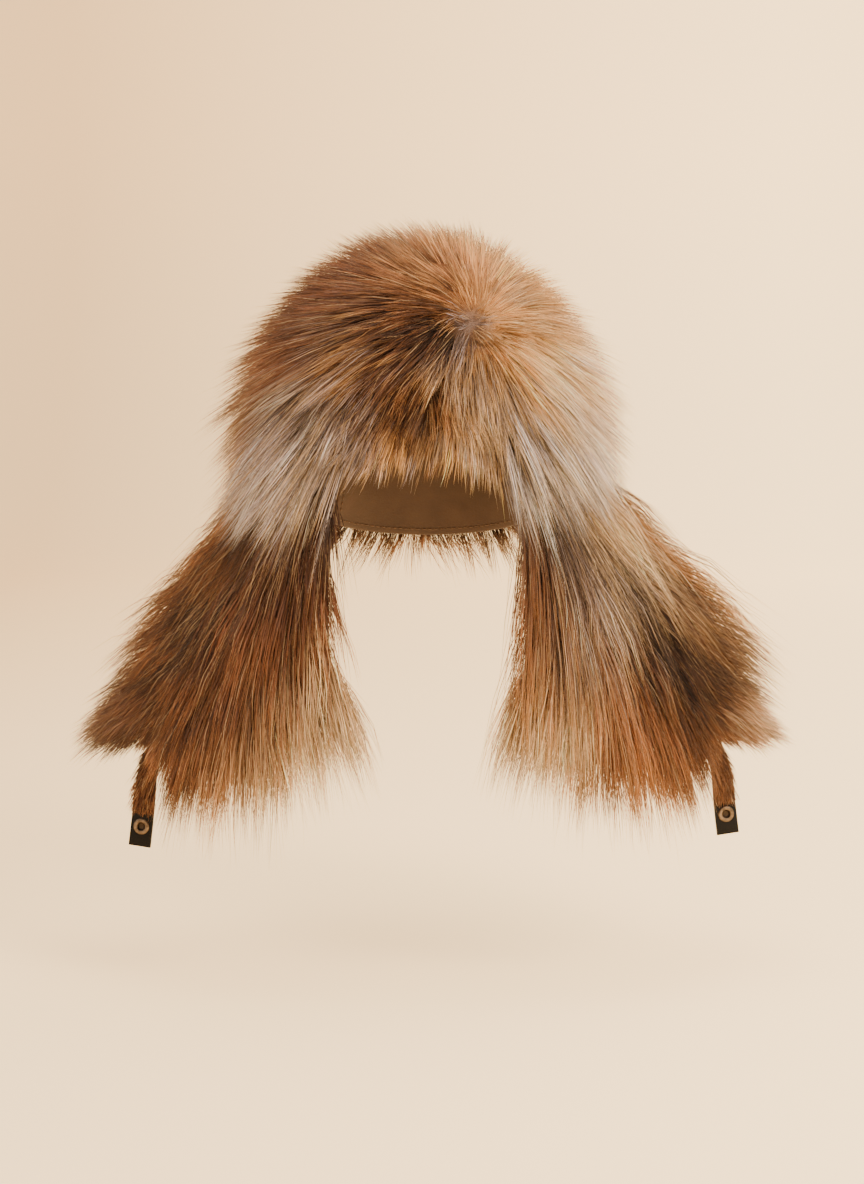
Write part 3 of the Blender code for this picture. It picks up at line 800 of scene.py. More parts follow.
@dataclass
class Pelt:
    """One stretch of fur: where it grows, how, and in which colours."""

    name: str
    node: str
    slot: str
    surface: Surface
    coat: Coat
    chart: Chart
    growth: Callable[[Footing], Growth]
    seed: int
    span: Span = WHOLE_PANEL
    out: float = WALLS.fur_out
    keep: Callable[[Footing], Array] | None = None
    mottle: Mottle = Mottle()

    def roots(self, chance: Chance, count: int) -> Footing:
        """Spreads roots over the pelt, where its hair is kept."""
        found = scatter(chance, self.surface, self.span, self.out, 2 * count if self.keep else count)
        if self.keep:
            found = found.take(np.flatnonzero(self.keep(found))[:count])
        return found

    def grow(self, chance: Chance, rings: Array, count: int, tufts: "Tufts", share: float) -> Needles:
        """Grows hairs and gathers them into tufts.

        Args:
            chance: The seeded source of numbers.
            rings: Where along a hair its rings lie.
            count: How many hairs.
            tufts: The tufts that they gather in.
            share: How long they are beside a full hair.

        Returns:
            The hairs.
        """
        coat, footing = self.coat, self.roots(chance, count)
        count = len(footing.point)
        growth = self.growth(footing)
        home = tufts.nearest(footing.point)
        free = chance.uniform(0, 1, count) < coat.flyaway
        lead, side = growth.leads(footing, chance, coat.stray, tufts.nudge[home])
        cut = growth.length * share * (1 - np.abs(chance.normal(0, coat.uneven, count)))
        cut *= tufts.trim[home] * np.where(free, coat.flyaway_gain, 1.0)
        bend = growth.bend(lead, side, chance)
        spots = np.concatenate(((0.0,), rings, (1.0,)))
        own = path_of(footing.point - footing.normal * coat.root_depth, lead, bend, cut, spots)
        scale = np.minimum(1.0, cut / tufts.length[home])
        led = path_of(
            tufts.root[home], tufts.lead[home], tufts.bend[home], tufts.length[home], spots * column(scale)
        )
        gather = coat.gather * chance.uniform(*coat.gather_spread, count)
        gather *= np.where(free, coat.flyaway_gather, 1.0)
        pull = (column(np.clip(gather, 0, coat.gather_most)) * spots**coat.gather_power)[:, :, None]
        path = own * (1 - pull) + led * pull
        path += chance.normal(0, coat.swing, (count, 1, 3)) * column(spots * (1 - coat.swing_back * spots))
        thick = coat.width * chance.uniform(*coat.width_spread, count) * np.where(free, coat.flyaway_width, 1)
        width = column(thick) * np.interp(rings, TAPER_SPOTS, TAPER_WIDTHS)
        return Needles(path, side, width, self.colours(chance, path, home, tufts, spots * share))

    def colours(self, chance: Chance, path: Array, home: Array, tufts: "Tufts", spots: Array) -> Array:
        """The hairs' colours along their paths."""
        mottle, count = self.mottle, len(path)
        middle = path[:, 0] * mottle.seen_root + path[:, -1] * mottle.seen_tip
        seen = middle + tufts.shift[home] + chance.normal(0, mottle.hair_shift, (count, 3))
        three, streak = read_chart(self.chart, seen)
        along = np.interp(spots, TONE_SPOTS, TONE_STEPS)
        low = np.minimum(along.astype(int), 1)
        blend = (along - low)[None, :, None]
        colour = three[:, low] * (1 - blend) + three[:, low + 1] * blend
        spread = mottle.hair_light + mottle.streak_light * streak
        light = tufts.light[home] * np.exp(chance.normal(0, 1, count) * spread)
        lot = chance.uniform(0, 1, count)
        dark = lot < mottle.dark_share + mottle.streak_dark * streak
        light = np.where(dark, light * mottle.dark_light, light)
        pale = (lot > 1 - mottle.pale_share - mottle.streak_pale * streak)[:, None, None]
        colour = colour * light[:, None, None]
        washed = colour * mottle.pale_own + np.array(Tone.BLOND.value) * mottle.pale_blond
        return np.clip(np.where(pale, washed, colour), *mottle.limits)

    def build(self, material: Material) -> None:
        """Grows the whole pelt as one piece."""
        chance = np.random.default_rng(self.seed)
        tufts = Tufts(self, chance)
        mesh = NeedleMesh(HAIR_SIDES)
        mesh.add(self.grow(chance, UNDER_RINGS, self.coat.under_hairs, tufts, self.coat.under_share))
        mesh.add(self.grow(chance, GUARD_RINGS, self.coat.guard_hairs, tufts, 1.0))
        dress(mesh.build(self.name, material), self.slot, self.node)


def nearest_of(places: Array, points: Array) -> Array:
    """The number of the place nearest each point."""
    tree = KDTree(len(places))
    for index, place in enumerate(places):
        tree.insert(place, index)
    tree.balance()
    return np.array([tree.find(point)[1] for point in points])


class Tufts:
    """The tufts that a pelt's hairs gather in, each led by one hair of its own, and several to a lock."""

    def __init__(self, pelt: Pelt, chance: Chance) -> None:
        """Spreads the tufts over the pelt and sets how each lies.

        Args:
            pelt: The pelt they are on.
            chance: The seeded source of numbers.
        """
        coat, mottle = pelt.coat, pelt.mottle
        footing = pelt.roots(chance, coat.tufts)
        growth = pelt.growth(footing)
        count = len(footing.point)
        lock = nearest_of(pelt.roots(chance, coat.locks).point, footing.point)
        self.root = footing.point
        self.nudge = chance.normal(0, coat.lock_stray, (coat.locks, 3))[lock]
        self.lead, side = growth.leads(footing, chance, coat.stray * coat.tuft_stray, self.nudge)
        self.trim = chance.uniform(*coat.trim, count)
        self.length = growth.length * self.trim
        self.bend = growth.bend(self.lead, side, chance)
        self.shift = chance.normal(0, mottle.lock_shift, (coat.locks, 3))[lock]
        self.shift += chance.normal(0, mottle.tuft_shift, (count, 3))
        light = chance.normal(0, mottle.lock_light, coat.locks)[lock]
        self.light = np.exp(light + chance.normal(0, mottle.tuft_light, count))

    def nearest(self, points: Array) -> Array:
        """The number of the tuft nearest each point."""
        return nearest_of(self.root, points)


def doubled(bm: Net, place: Callable[[Array, Array], Array]) -> None:
    """Gives an open net a second face, and puts both on their surfaces.

    Args:
        bm: The net.
        place: Gives points for the net's own corners, and for which of them are on the outer face.
    """
    grown = bmesh.ops.extrude_face_region(bm, geom=bm.faces[:])["geom"]
    raised = {part for part in grown if isinstance(part, bmesh.types.BMVert)}
    corners = np.array([corner.co for corner in bm.verts])
    outer = np.array([corner in raised for corner in bm.verts])
    for corner, point in zip(bm.verts, place(corners, outer)):
        corner.co = point
    bmesh.ops.recalc_face_normals(bm, faces=bm.faces)


def even(out: float) -> Depth:
    """The same depth everywhere on a surface."""
    return lambda first, second: np.full(np.shape(first), out)


def pillow(inside: float, loft: float) -> Depth:
    """A depth that swells from the edges of a panel, whose coordinates run from -1 to 1."""
    thin, power = 0.0008, 8
    return lambda first, second: inside + thin + loft * (1 - first**power) * (1 - second**power)


def panel_wall(surface: Surface, columns: int, rows: int, inside: float, outside: Depth) -> Net:
    """A panel's wall.

    Args:
        surface: Gives points for two coordinates from -1 to 1 and a distance.
        columns: Faces across.
        rows: Faces along.
        inside: How far out its inner face lies.
        outside: How far out its outer face lies.

    Returns:
        The closed wall.
    """
    bm = bmesh.new()
    bmesh.ops.create_grid(bm, x_segments=columns, y_segments=rows, size=1)

    def place(corners: Array, outer: Array) -> Array:
        """Points on the panel's two faces."""
        across, along = corners[:, 0], corners[:, 1]
        return surface(across, along, np.where(outer, outside(across, along), inside))

    doubled(bm, place)
    return bm


def dome_wall(segments: int, rows: int, inside: float, outside: Depth) -> Net:
    """A wall of the crown's whole dome, with so many segments round it and rows up it."""
    bm = bmesh.new()
    bmesh.ops.create_uvsphere(bm, u_segments=segments, v_segments=2 * rows, radius=1)
    below = [corner for corner in bm.verts if corner.co.z < -SMALL_STEP]
    bmesh.ops.delete(bm, geom=below, context="VERTS")

    def place(corners: Array, outer: Array) -> Array:
        """Points on the dome's two faces."""
        x, y, z = corners.T
        turn, rise = np.arctan2(x, -y), np.arctan2(z, np.hypot(x, y))
        return HAT.crown(turn, rise, np.where(outer, outside(turn, rise), inside))

    doubled(bm, place)
    return bm


def add_piece(name: str, bm: Net, material: Material) -> bpy.types.Object:
    """Links a finished mesh as an object with smooth faces."""
    mesh = bpy.data.meshes.new(name)
    bm.to_mesh(mesh)
    bm.free()
    mesh.shade_smooth()
    mesh.materials.append(material)
    return placed(name, mesh)


class Graph:
    """A new finish's nodes, round its Principled shader."""

    def __init__(self, name: str) -> None:
        """Starts a material with this name."""
        self.material = bpy.data.materials.new(name)
        self.material.use_nodes = True
        self.tree = self.material.node_tree

    def feed(self, node: bpy.types.ShaderNode, inputs: Inputs) -> None:
        """Gives a node's inputs their values, or the sockets that they come from."""
        for name, value in inputs.items():
            if isinstance(value, Socket):
                self.tree.links.new(value, node.inputs[name])
            else:
                node.inputs[name].default_value = value

    def add(self, kind: str, inputs: Inputs, output: str | int = 0, **settings: str) -> Socket:
        """Adds a node.

        Args:
            kind: Its type, without the word ShaderNode.
            inputs: What its inputs get.
            output: Which of its outputs is wanted.
            settings: Its own settings, such as its operation.

        Returns:
            The output.
        """
        node = self.tree.nodes.new("ShaderNode" + kind)
        for name, value in settings.items():
            setattr(node, name, value)
        self.feed(node, inputs)
        return node.outputs[output]

    def place(self) -> Socket:
        """Places in the object's own coordinates."""
        return self.add("TexCoord", {}, "Object")

    def noise(self, scale: float, detail: float) -> Socket:
        """Noise in the object's own coordinates."""
        return self.add("TexNoise", {"Vector": self.place(), "Scale": scale, "Detail": detail}, "Fac")

    def ranged(self, source: Socket, low: float, high: float) -> Socket:
        """A value from 0 to 1 spread from low to high."""
        return self.add("MapRange", {"Value": source, "To Min": low, "To Max": high}, "Result")

    def mixed(self, share: Socket, first: Rgb, second: Rgb) -> Socket:
        """A colour between two by a share."""
        inputs = {"Factor": share, "A": (*first, 1), "B": (*second, 1)}
        return self.add("Mix", inputs, "Result", data_type="RGBA")

    def bumped(self, height: Socket, depth: float) -> Socket:
        """The directions of a surface that is raised by up to a depth in metres."""
        return self.add("Bump", {"Strength": 1.0, "Distance": depth, "Height": height}, "Normal")

    def finish(self, inputs: Inputs) -> Material:
        """Feeds the shader and gives the material."""
        self.feed(self.tree.nodes["Principled BSDF"], inputs)
        return self.material


@dataclass(frozen=True)
class FurFinish:
    """Fox hair: its colours come with the mesh, and fine noise breaks them up."""

    name: str = "fox_hair"
    roughness: tuple[float, float] = (0.38, 0.58)
    sheen: float = 0.10
    sheen_roughness: float = 0.4
    sheen_tint: Rgb = (1.0, 0.78, 0.58)
    specular: float = 0.28
    speckle: float = 0.10
    grain: float = 340
    grain_detail: float = 3
    relief: float = 0.0

    def material(self) -> Material:
        """Makes the material."""
        graph = Graph(self.name)
        own = graph.add("Attribute", {}, "Color", attribute_name=COLOUR_NAME)
        noise = graph.noise(self.grain, self.grain_detail)
        speckled = {"Vector": own, "Scale": graph.ranged(noise, 1 - self.speckle, 1 + self.speckle)}
        inputs = {
            "Base Color": graph.add("VectorMath", speckled, "Vector", operation="SCALE"),
            "Roughness": graph.ranged(noise, *self.roughness),
            "Specular IOR Level": self.specular,
            "Sheen Weight": self.sheen,
            "Sheen Roughness": self.sheen_roughness,
            "Sheen Tint": (*self.sheen_tint, 1),
        }
        if self.relief:
            inputs["Normal"] = graph.bumped(noise, self.relief)
        return graph.finish(inputs)


@dataclass(frozen=True)
class HideFinish:
    """Leather: mottled colour, a pebbled grain with fine creases, and roughness that follows them."""

    name: str
    dark: Rgb
    light: Rgb
    roughness: tuple[float, float]
    specular: float = 0.3
    coat: float = 0.0
    coat_roughness: float = 0.35
    mottle_scale: float = 38
    mottle_detail: float = 5
    grain_scale: float = 900
    grain_depth: float = 0.00025

    def material(self) -> Material:
        """Makes the material."""
        graph = Graph(self.name)
        mottle = graph.noise(self.mottle_scale, self.mottle_detail)
        pebbles = {"Vector": graph.place(), "Scale": self.grain_scale}
        grain = graph.add("TexVoronoi", pebbles, "Distance", feature="SMOOTH_F1")
        return graph.finish({
            "Base Color": graph.mixed(mottle, self.dark, self.light),
            "Roughness": graph.ranged(grain, *self.roughness),
            "Normal": graph.bumped(grain, self.grain_depth),
            "Coat Weight": self.coat,
            "Coat Roughness": self.coat_roughness,
            "Specular IOR Level": self.specular,
        })


@dataclass(frozen=True)
class ThreadFinish:
    """Waxed sewing thread with a twist in it."""

    name: str = "waxed_thread"
    dark: Rgb = (0.10, 0.055, 0.030)
    light: Rgb = (0.20, 0.115, 0.065)
    roughness: tuple[float, float] = (0.45, 0.7)
    twist_scale: float = 1600
    twist_detail: float = 2
    twist_depth: float = 0.0001

    def material(self) -> Material:
        """Makes the material."""
        graph = Graph(self.name)
        twist = graph.noise(self.twist_scale, self.twist_detail)
        return graph.finish({
            "Base Color": graph.mixed(twist, self.dark, self.light),
            "Roughness": graph.ranged(twist, *self.roughness),
            "Normal": graph.bumped(twist, self.twist_depth),
        })


@dataclass(frozen=True)
class BrassFinish:
    """Antique brass: dull and tarnished, with painted shade that darkens its hollows, and brighter where it
    is rubbed.
    """

    name: str = "antique_brass"
    # the dark colour is both the tarnish and the painted shade in the hollows
    tarnish_and_shade: Rgb = (0.016, 0.011, 0.008)
    rubbed: Rgb = (0.30, 0.215, 0.145)
    roughness: tuple[float, float] = (0.62, 0.28)
    wear_scale: float = 420
    wear_detail: float = 4
    wear_depth: float = 0.00006
    # how far and how strongly the painted shade reaches into the hollows
    painted_shade_reach: float = 0.004
    painted_shade_power: float = 6.0

    def material(self) -> Material:
        """Makes the material."""
        graph = Graph(self.name)
        wear = graph.noise(self.wear_scale, self.wear_detail)
        # painted shade: ambient occlusion turns the hollows towards the dark colour
        clear = graph.add("AmbientOcclusion", {"Distance": self.painted_shade_reach}, "AO")
        clear = graph.add("Math", {0: clear, 1: self.painted_shade_power}, operation="POWER")
        clear = graph.add("Math", {0: clear, 1: wear}, operation="MULTIPLY")
        return graph.finish({
            "Base Color": graph.mixed(clear, self.tarnish_and_shade, self.rubbed),
            "Roughness": graph.ranged(wear, *self.roughness),
            "Normal": graph.bumped(wear, self.wear_depth),
            "Metallic": 1.0,
        })


@dataclass(frozen=True)
class Finishes:
    """The finishes that the hat's pieces share."""

    hair: Material
    underfur: Material
    brown_hide: Material
    black_hide: Material
    thread: Material
    brass: Material

    @staticmethod
    def make() -> "Finishes":
        """Makes them all."""
        return Finishes(
            hair=FurFinish().material(),
            underfur=FurFinish(
                "fox_underfur", roughness=(0.75, 0.95), specular=0.1, speckle=0.5, grain=900, relief=0.002
            ).material(),
            brown_hide=HideFinish(
                "brown_hide", (0.045, 0.024, 0.015), (0.100, 0.056, 0.034), (0.48, 0.68), coat=0.05
            ).material(),
            black_hide=HideFinish(
                "black_hide", (0.003, 0.0028, 0.0026), (0.008, 0.007, 0.0065), (0.45, 0.62), specular=0.12,
                grain_depth=0.00012,
            ).material(),
            thread=ThreadFinish().material(),
            brass=BrassFinish().material(),
        )


def lay(pelts: list[Pelt], underfur: str, wall: Net, finishes: Finishes) -> None:
    """Adds the dense fur below the pelts of a node, in the colours of their hairs' roots, and their hair.

    Args:
        pelts: The pelts.
        underfur: The name of the dense fur.
        wall: Its shape.
        finishes: The hat's finishes.
    """
    first = pelts[0]
    piece = add_piece(underfur, wall, finishes.underfur)
    colours, _ = read_chart(first.chart, np.array([corner.co for corner in piece.data.vertices]))
    store_colours(piece.data, colours[:, 0] * ROOT_SHARE + colours[:, 1] * MIDDLE_SHARE)
    dress(piece, first.slot, first.node)
    for pelt in pelts:
        pelt.build(finishes.hair)


@dataclass
class CrownFur:
    """The crown's pelt, whose hair spreads from a whorl at the front right.

    Its lengths, lifts and downs go with the rises, and its gains with the gain rises. Plain numbers for rises
    and lifts are degrees.
    """

    net: tuple[int, int] = (72, 22)
    rises: tuple[float, ...] = (0, 7, 21, 36, 52, 68, 84, 90)
    lengths: tuple[float, ...] = (0.088, 0.087, 0.084, 0.075, 0.063, 0.057, 0.054, 0.054)
    lifts: tuple[float, ...] = (50, 50, 43, 40, 35, 31, 28, 28)
    downs: tuple[float, ...] = (1.5, 1.4, 1.3, 0.7, 0.3, 0.1, 0.0, 0.0)
    gain_rises: tuple[float, float, float] = (0, 40, 70)
    left_gains: tuple[float, float, float] = (0.20, -0.02, -0.12)
    right_gains: tuple[float, float, float] = (0.0, -0.08, -0.06)
    whorl_turn: float = radians(33)
    whorl_rise: float = radians(38)
    whorl_reach: float = 0.07
    whorl_heart: float = 0.026
    heart_lift: float = radians(50)
    heart_loss: float = 0.35
    length_share: float = 0.7
    lift_share: float = 0.6
    sag: float = 0.10
    loft: float = 0.007
    rim_rise: float = radians(8)
    visor_clear: float = radians(3)
    visor_tuck: float = 0.0004
    coat: Coat = Coat(locks=110, tufts=1100, guard_hairs=7000, under_hairs=11000)
    back_coat: Coat = Coat(locks=110, tufts=1000, guard_hairs=3800, under_hairs=7800)
    band_coat: Coat = Coat(
        locks=34, tufts=190, guard_hairs=1300, under_hairs=1500, gather=0.84, trim=(0.62, 1.08), stray=0.05,
        lock_stray=0.08,
    )
    band_mottle: Mottle = Mottle(tuft_shift=0.016, lock_light=0.36, tuft_light=0.72, dark_share=0.16)
    hair_rises: tuple[float, float] = (1, 89)
    band_rises: tuple[float, float] = (2, 17)
    band_length: float = 0.098
    band_lift: float = radians(40)
    band_sag: float = 0.22
    band_downs: tuple[float, float] = (2.2, 5.0)
    right_fall: float = 0.8

    def whorl(self) -> Array:
        """The middle of the whorl."""
        return HAT.crown(np.array((self.whorl_turn,)), np.array((self.whorl_rise,)), WALLS.fur_out)[0]

    def away(self, points: Array, down: Numbers) -> Array:
        """Directions away from the whorl, drawn down by a share."""
        flow = unit(points - self.whorl())
        flow[:, 2] -= down
        return flow

    def growth(self, footing: Footing) -> Growth:
        """How hair grows at these roots."""
        turn, rise = footing.place[0], np.degrees(footing.place[1])
        rows = self.lengths, self.lifts, self.downs
        length, lift, down = (np.interp(rise, self.rises, row) for row in rows)
        down *= 1 + self.right_fall * np.maximum(0, np.sin(turn))
        far = np.linalg.norm(footing.point - self.whorl(), axis=1)
        near = np.minimum(1.0, far / self.whorl_reach)
        length = length * between(self.length_share, 1, near)
        for gains, aside in ((self.left_gains, -np.sin(turn)), (self.right_gains, np.sin(turn))):
            length *= 1 + np.interp(rise, self.gain_rises, gains) * np.maximum(0, aside)
        heart = np.maximum(0, 1 - far / self.whorl_heart)
        length *= 1 - self.heart_loss * heart
        lift = np.radians(lift) * between(self.lift_share, 1, near) + heart * self.heart_lift
        return Growth(self.away(footing.point, down), length, lift, *alike(len(turn), self.sag))

    def band_growth(self, footing: Footing) -> Growth:
        """How the long pointed locks low on the crown's front sides grow."""
        flow = self.away(footing.point, np.where(footing.point[:, 0] < 0, *self.band_downs))
        return Growth(flow, *alike(len(flow), self.band_length, self.band_lift, self.band_sag))

    def under_visor(self, turn: Array, rise: Array, clear: float) -> Array:
        """Which places the visor covers, with a margin all round."""
        return (np.abs(turn) < HAT.visor_half_turn + clear) & (rise < HAT.visor_top + clear)

    def bare_of_visor(self, footing: Footing) -> Array:
        """Which roots the visor leaves bare."""
        return ~self.under_visor(*footing.place, -self.visor_clear)

    def underfur_depth(self, turn: Array, rise: Array) -> Array:
        """How far out the underfur reaches: thin under the visor and at the rim."""
        full = WALLS.fur_out + self.loft * np.clip(rise / self.rim_rise, 0, 1)
        return np.where(self.under_visor(turn, rise, self.visor_clear), WALLS.fur_out - self.visor_tuck, full)

    def build(self, finishes: Finishes) -> None:
        """Makes the underfur, the three pieces of hair over it, and the bands of longer locks."""
        crown = partial(Pelt, node="crown_fur", slot="fox_gold", surface=HAT.crown)
        # name, where it starts and stops round the crown, coat, seed
        sectors = (
            ("crown_fur_left", -0.75 * pi, -0.06 * pi, self.coat, 41),
            ("crown_fur_right", -0.06 * pi, 0.62 * pi, self.coat, 42),
            ("crown_fur_back", 0.62 * pi, 1.25 * pi, self.back_coat, 43),
        )
        pelts = [
            crown(
                name, coat=coat, chart=CROWN_CHART, growth=self.growth, seed=seed, keep=self.bare_of_visor,
                span=tuple(zip((start, stop), map(radians, self.hair_rises))),
            )
            for name, start, stop, coat, seed in sectors
        ]
        # name, where it starts and stops in degrees round the crown, chart, seed
        bands = (
            ("crown_band_left", -84, -34, LEFT_BAND_CHART, 45),
            ("crown_band_right", 30, 78, RIGHT_BAND_CHART, 46),
        )
        pelts += [
            crown(
                name, coat=self.band_coat, chart=chart, growth=self.band_growth, seed=seed,
                span=np.radians(tuple(zip((start, stop), self.band_rises))), mottle=self.band_mottle,
            )
            for name, start, stop, chart, seed in bands
        ]
        wall = dome_wall(*self.net, WALLS.fur_in, self.underfur_depth)
        lay(pelts, "crown_underfur", wall, finishes)


@dataclass
class VisorFur:
    """The visor's pelt, which falls over the hat's front rim."""

    crown: CrownFur
    net: tuple[int, int] = (40, 20)
    lengths: tuple[float, float] = (0.029, 0.050)
    length_gain: float = 0.050
    gain_power: float = 3.0
    lift: float = radians(27)
    sag: float = 0.10
    down: float = 1.1
    fan: float = 0.25
    loft: float = 0.004
    coat: Coat = Coat(locks=34, tufts=420, guard_hairs=3000, under_hairs=3800, uneven=0.24, under_share=0.55)

    def growth(self, footing: Footing) -> Growth:
        """How hair grows at these roots."""
        across, along = footing.place
        flow = self.crown.away(footing.point, self.down)
        flow[:, 0] += self.fan * across
        length = between(*self.lengths, way(along)) + self.length_gain * np.abs(across) ** self.gain_power
        return Growth(flow, length, *alike(len(across), self.lift, self.sag))

    def build(self, finishes: Finishes) -> None:
        """Makes the underfur and the hair."""
        wall = panel_wall(HAT.visor, *self.net, WALLS.visor_fur_in, pillow(WALLS.visor_fur_in, self.loft))
        pelt = Pelt(
            "visor_fur_hair", "visor_fur", "fox_gold", HAT.visor, self.coat, CROWN_CHART, self.growth, 51,
            out=WALLS.visor_fur_out,
        )
        lay([pelt], "visor_underfur", wall, finishes)


@dataclass
class EarFlapFur:
    """An ear flap's pelt: it hangs at the front and fans outwards at the back.

    What differs by side has its left value first, and the lengths are those at the top, where it hangs and
    where it fans.
    """

    side: Side
    net: tuple[int, int] = (40, 48)
    lengths: tuple[Point, Point] = ((0.106, 0.088, 0.074), (0.124, 0.080, 0.064))
    lift_top: tuple[float, float] = (radians(54), radians(36))
    lift_low: tuple[float, float] = (radians(44), radians(18))
    falls: tuple[float, float] = (0.50, 0.60)
    fuller: tuple[float, float] = (0.30, 0.52)
    fuller_at: float = 0.46
    fuller_reach: float = 0.28
    strap_share: float = 0.80
    strap_at: float = -0.01
    strap_reach: float = 0.22
    sag_top: tuple[float, float] = (0.30, 0.32)
    sag_low: tuple[float, float] = (0.20, 0.25)
    hang: float = 0.8
    hang_top: float = 0.5
    hang_back: float = 0.38
    hang_span: float = 0.7
    edge: float = 0.4
    edge_flat: float = 0.45
    front_fans: Span = ((0.75, 1.10), (0.35, 0.95))
    back_fan: float = 0.4
    loft: float = 0.006
    hem: float = 0.70
    coat: Coat = Coat(locks=90, tufts=900, guard_hairs=6000, under_hairs=8600)
    mottle: Mottle = Mottle(lock_light=0.26, tuft_light=0.30)
    hem_coat: Coat = Coat(locks=30, tufts=260, guard_hairs=900, under_hairs=4600, under_share=0.80)

    def growth(self, footing: Footing) -> Growth:
        """How hair grows at these roots."""
        across, along = footing.place
        hung = np.clip((self.hang_back - across) / self.hang_span, 0, 1)
        hang = self.hang * hung * between(self.hang_top, 1, -footing.point[:, 2] / HAT.flap_length)
        front, back = (np.maximum(0, (aside - self.edge) / (1 - self.edge)) for aside in (-across, across))
        low = way(along) ** 2
        flow = footing.ahead * column(1 - hang)
        flow[:, 0] -= self.side.value * between(*self.side.pick(*self.front_fans), low) * front
        flow[:, 1] += self.back_fan * back
        flow[:, 2] -= hang
        at_top, at_hung, at_fanned = self.side.pick(*self.lengths)
        length = between(at_top, between(at_fanned, at_hung, hung), way(along) ** 3)
        near = np.exp(-(((way(along) - self.fuller_at) / self.fuller_reach) ** 2))
        over_strap = np.exp(-(((across - self.strap_at) / self.strap_reach) ** 2)) * low
        length *= (1 + self.side.pick(*self.fuller) * near * (1 - hung)) * (1 - self.strap_share * over_strap)
        lift = between(between(*self.lift_top, hung), between(*self.lift_low, hung), low)
        sag = between(between(*self.sag_top, hung), between(*self.sag_low, hung), low)
        return Growth(flow, length, lift * (1 - self.edge_flat * front), sag, between(*self.falls, hung))

    def build(self, finishes: Finishes) -> None:
        """Makes the underfur, the hair and more hair at the hem."""
        node = f"ear_flap_{self.side.word}_fur"
        chart = self.side.pick(LEFT_CHART, RIGHT_CHART)
        surface = HAT.flap_of(self.side)
        # name, where it starts along the flap, coat, seed
        rows = ("_hair", -1, self.coat, 60), ("_hem", self.hem, self.hem_coat, 65)
        pelts = [
            Pelt(
                node + name, node, "fox_rust", surface, coat, chart, self.growth, seed + self.side.value,
                span=((-1, start), (1, 1)), mottle=self.mottle,
            )
            for name, start, coat, seed in rows
        ]
        wall = panel_wall(surface, *self.net, WALLS.fur_in, pillow(WALLS.fur_in, self.loft))
        lay(pelts, f"ear_flap_{self.side.word}_underfur", wall, finishes)


@dataclass
class NapeFur:
    """The nape flap's pelt."""

    net: tuple[int, int] = (40, 16)
    length: float = 0.062
    lift: float = radians(26)
    sag: float = 0.08
    fan: float = 0.2
    loft: float = 0.005
    coat: Coat = Coat(locks=24, tufts=260, guard_hairs=1300, under_hairs=2600)

    def growth(self, footing: Footing) -> Growth:
        """How hair grows at these roots."""
        flow = footing.ahead.copy()
        flow[:, 0] += self.fan * footing.place[0]
        return Growth(flow, *alike(len(flow), self.length, self.lift, self.sag))

    def build(self, finishes: Finishes) -> None:
        """Makes the underfur and the hair."""
        wall = panel_wall(HAT.nape, *self.net, WALLS.fur_in, pillow(WALLS.fur_in, self.loft))
        node = "nape_flap_fur"
        pelt = Pelt(node + "_hair", node, "fox_rust", HAT.nape, self.coat, CROWN_CHART, self.growth, 71)
        lay([pelt], "nape_flap_underfur", wall, finishes)


@dataclass
class StrapFur:
    """The strip of fur on a strap's face, short enough to leave the press stud clear."""

    run: StrapRun
    net: tuple[int, int] = (6, 24)
    length: float = 0.017
    lift: float = radians(11)
    backing: float = 0.0006
    overhang: float = 0.001
    face_length: float = 0.052
    coat: Coat = Coat(locks=10, tufts=70, guard_hairs=420, under_hairs=420, width=0.0005)

    def growth(self, footing: Footing) -> Growth:
        """How hair grows at these roots."""
        to_end = (1 - footing.place[1]) / 2 * self.face_length
        length = np.minimum(self.length, to_end + self.overhang)
        return Growth(footing.ahead, length, *alike(len(length), self.lift, 0.0))

    def build(self, finishes: Finishes) -> None:
        """Makes the backing and the hair."""
        side, inside = self.run.side, self.run.thick / 2 + HAT.seam_gap
        outside = inside + self.backing
        node = "strap_fur_" + side.word
        chart = side.pick(LEFT_CHART, RIGHT_CHART)
        pelt = Pelt(
            node + "_hair", node, "fox_rust", self.run.face, self.coat, chart, self.growth, 80 + side.value,
            out=outside,
        )
        wall = panel_wall(self.run.face, *self.net, inside, even(outside))
        lay([pelt], f"strap_{side.word}_underfur", wall, finishes)


@dataclass
class Seam:
    """A row of stitches on a leather face."""

    stitch: float = 0.0034
    gap: float = 0.0013
    width: float = 0.0008
    rise: float = 0.00035
    sink: float = 0.0003
    sides: int = 5
    rings: tuple[float, ...] = (0.12, 0.5, 0.88)

    def needles(self, surface: Surface, line: Array, out: float) -> Needles:
        """Stitches along a line on the inner side of a surface.

        Args:
            surface: What they are sewn to.
            line: Places on it, a row each, closer together than the stitches.
            out: How far out the sewn face lies.

        Returns:
            The stitches.
        """
        points = surface(line[:, 0], line[:, 1], out)
        run = np.concatenate(((0,), np.cumsum(np.linalg.norm(np.diff(points, axis=0), axis=1))))
        starts = np.arange(self.gap, run[-1] - self.stitch, self.stitch + self.gap)
        spots = np.array((0.0, *self.rings, 1.0))
        at = starts[:, None] + spots * self.stitch
        first = np.interp(at, run, line[:, 0]).ravel()
        second = np.interp(at, run, line[:, 1]).ravel()
        footing = stand_on(surface, first, second, out)
        high = np.tile(self.rise * np.sin(pi * spots) - self.sink * np.isin(spots, (0, 1)), len(starts))
        path = (footing.point - footing.normal * column(high)).reshape(len(starts), len(spots), 3)
        side = footing.normal.reshape(path.shape)[:, 2]
        width = np.full((len(starts), len(self.rings)), self.width)
        return Needles(path, side, width, np.ones_like(path))


def add_stitches(name: str, node: str, seams: list[Needles], material: Material) -> None:
    """Joins rows of stitches as one piece that belongs to a leather panel."""
    mesh = NeedleMesh(Seam.sides)
    for needles in seams:
        mesh.add(needles)
    dress(mesh.build(name, material), "hide_brown", node)


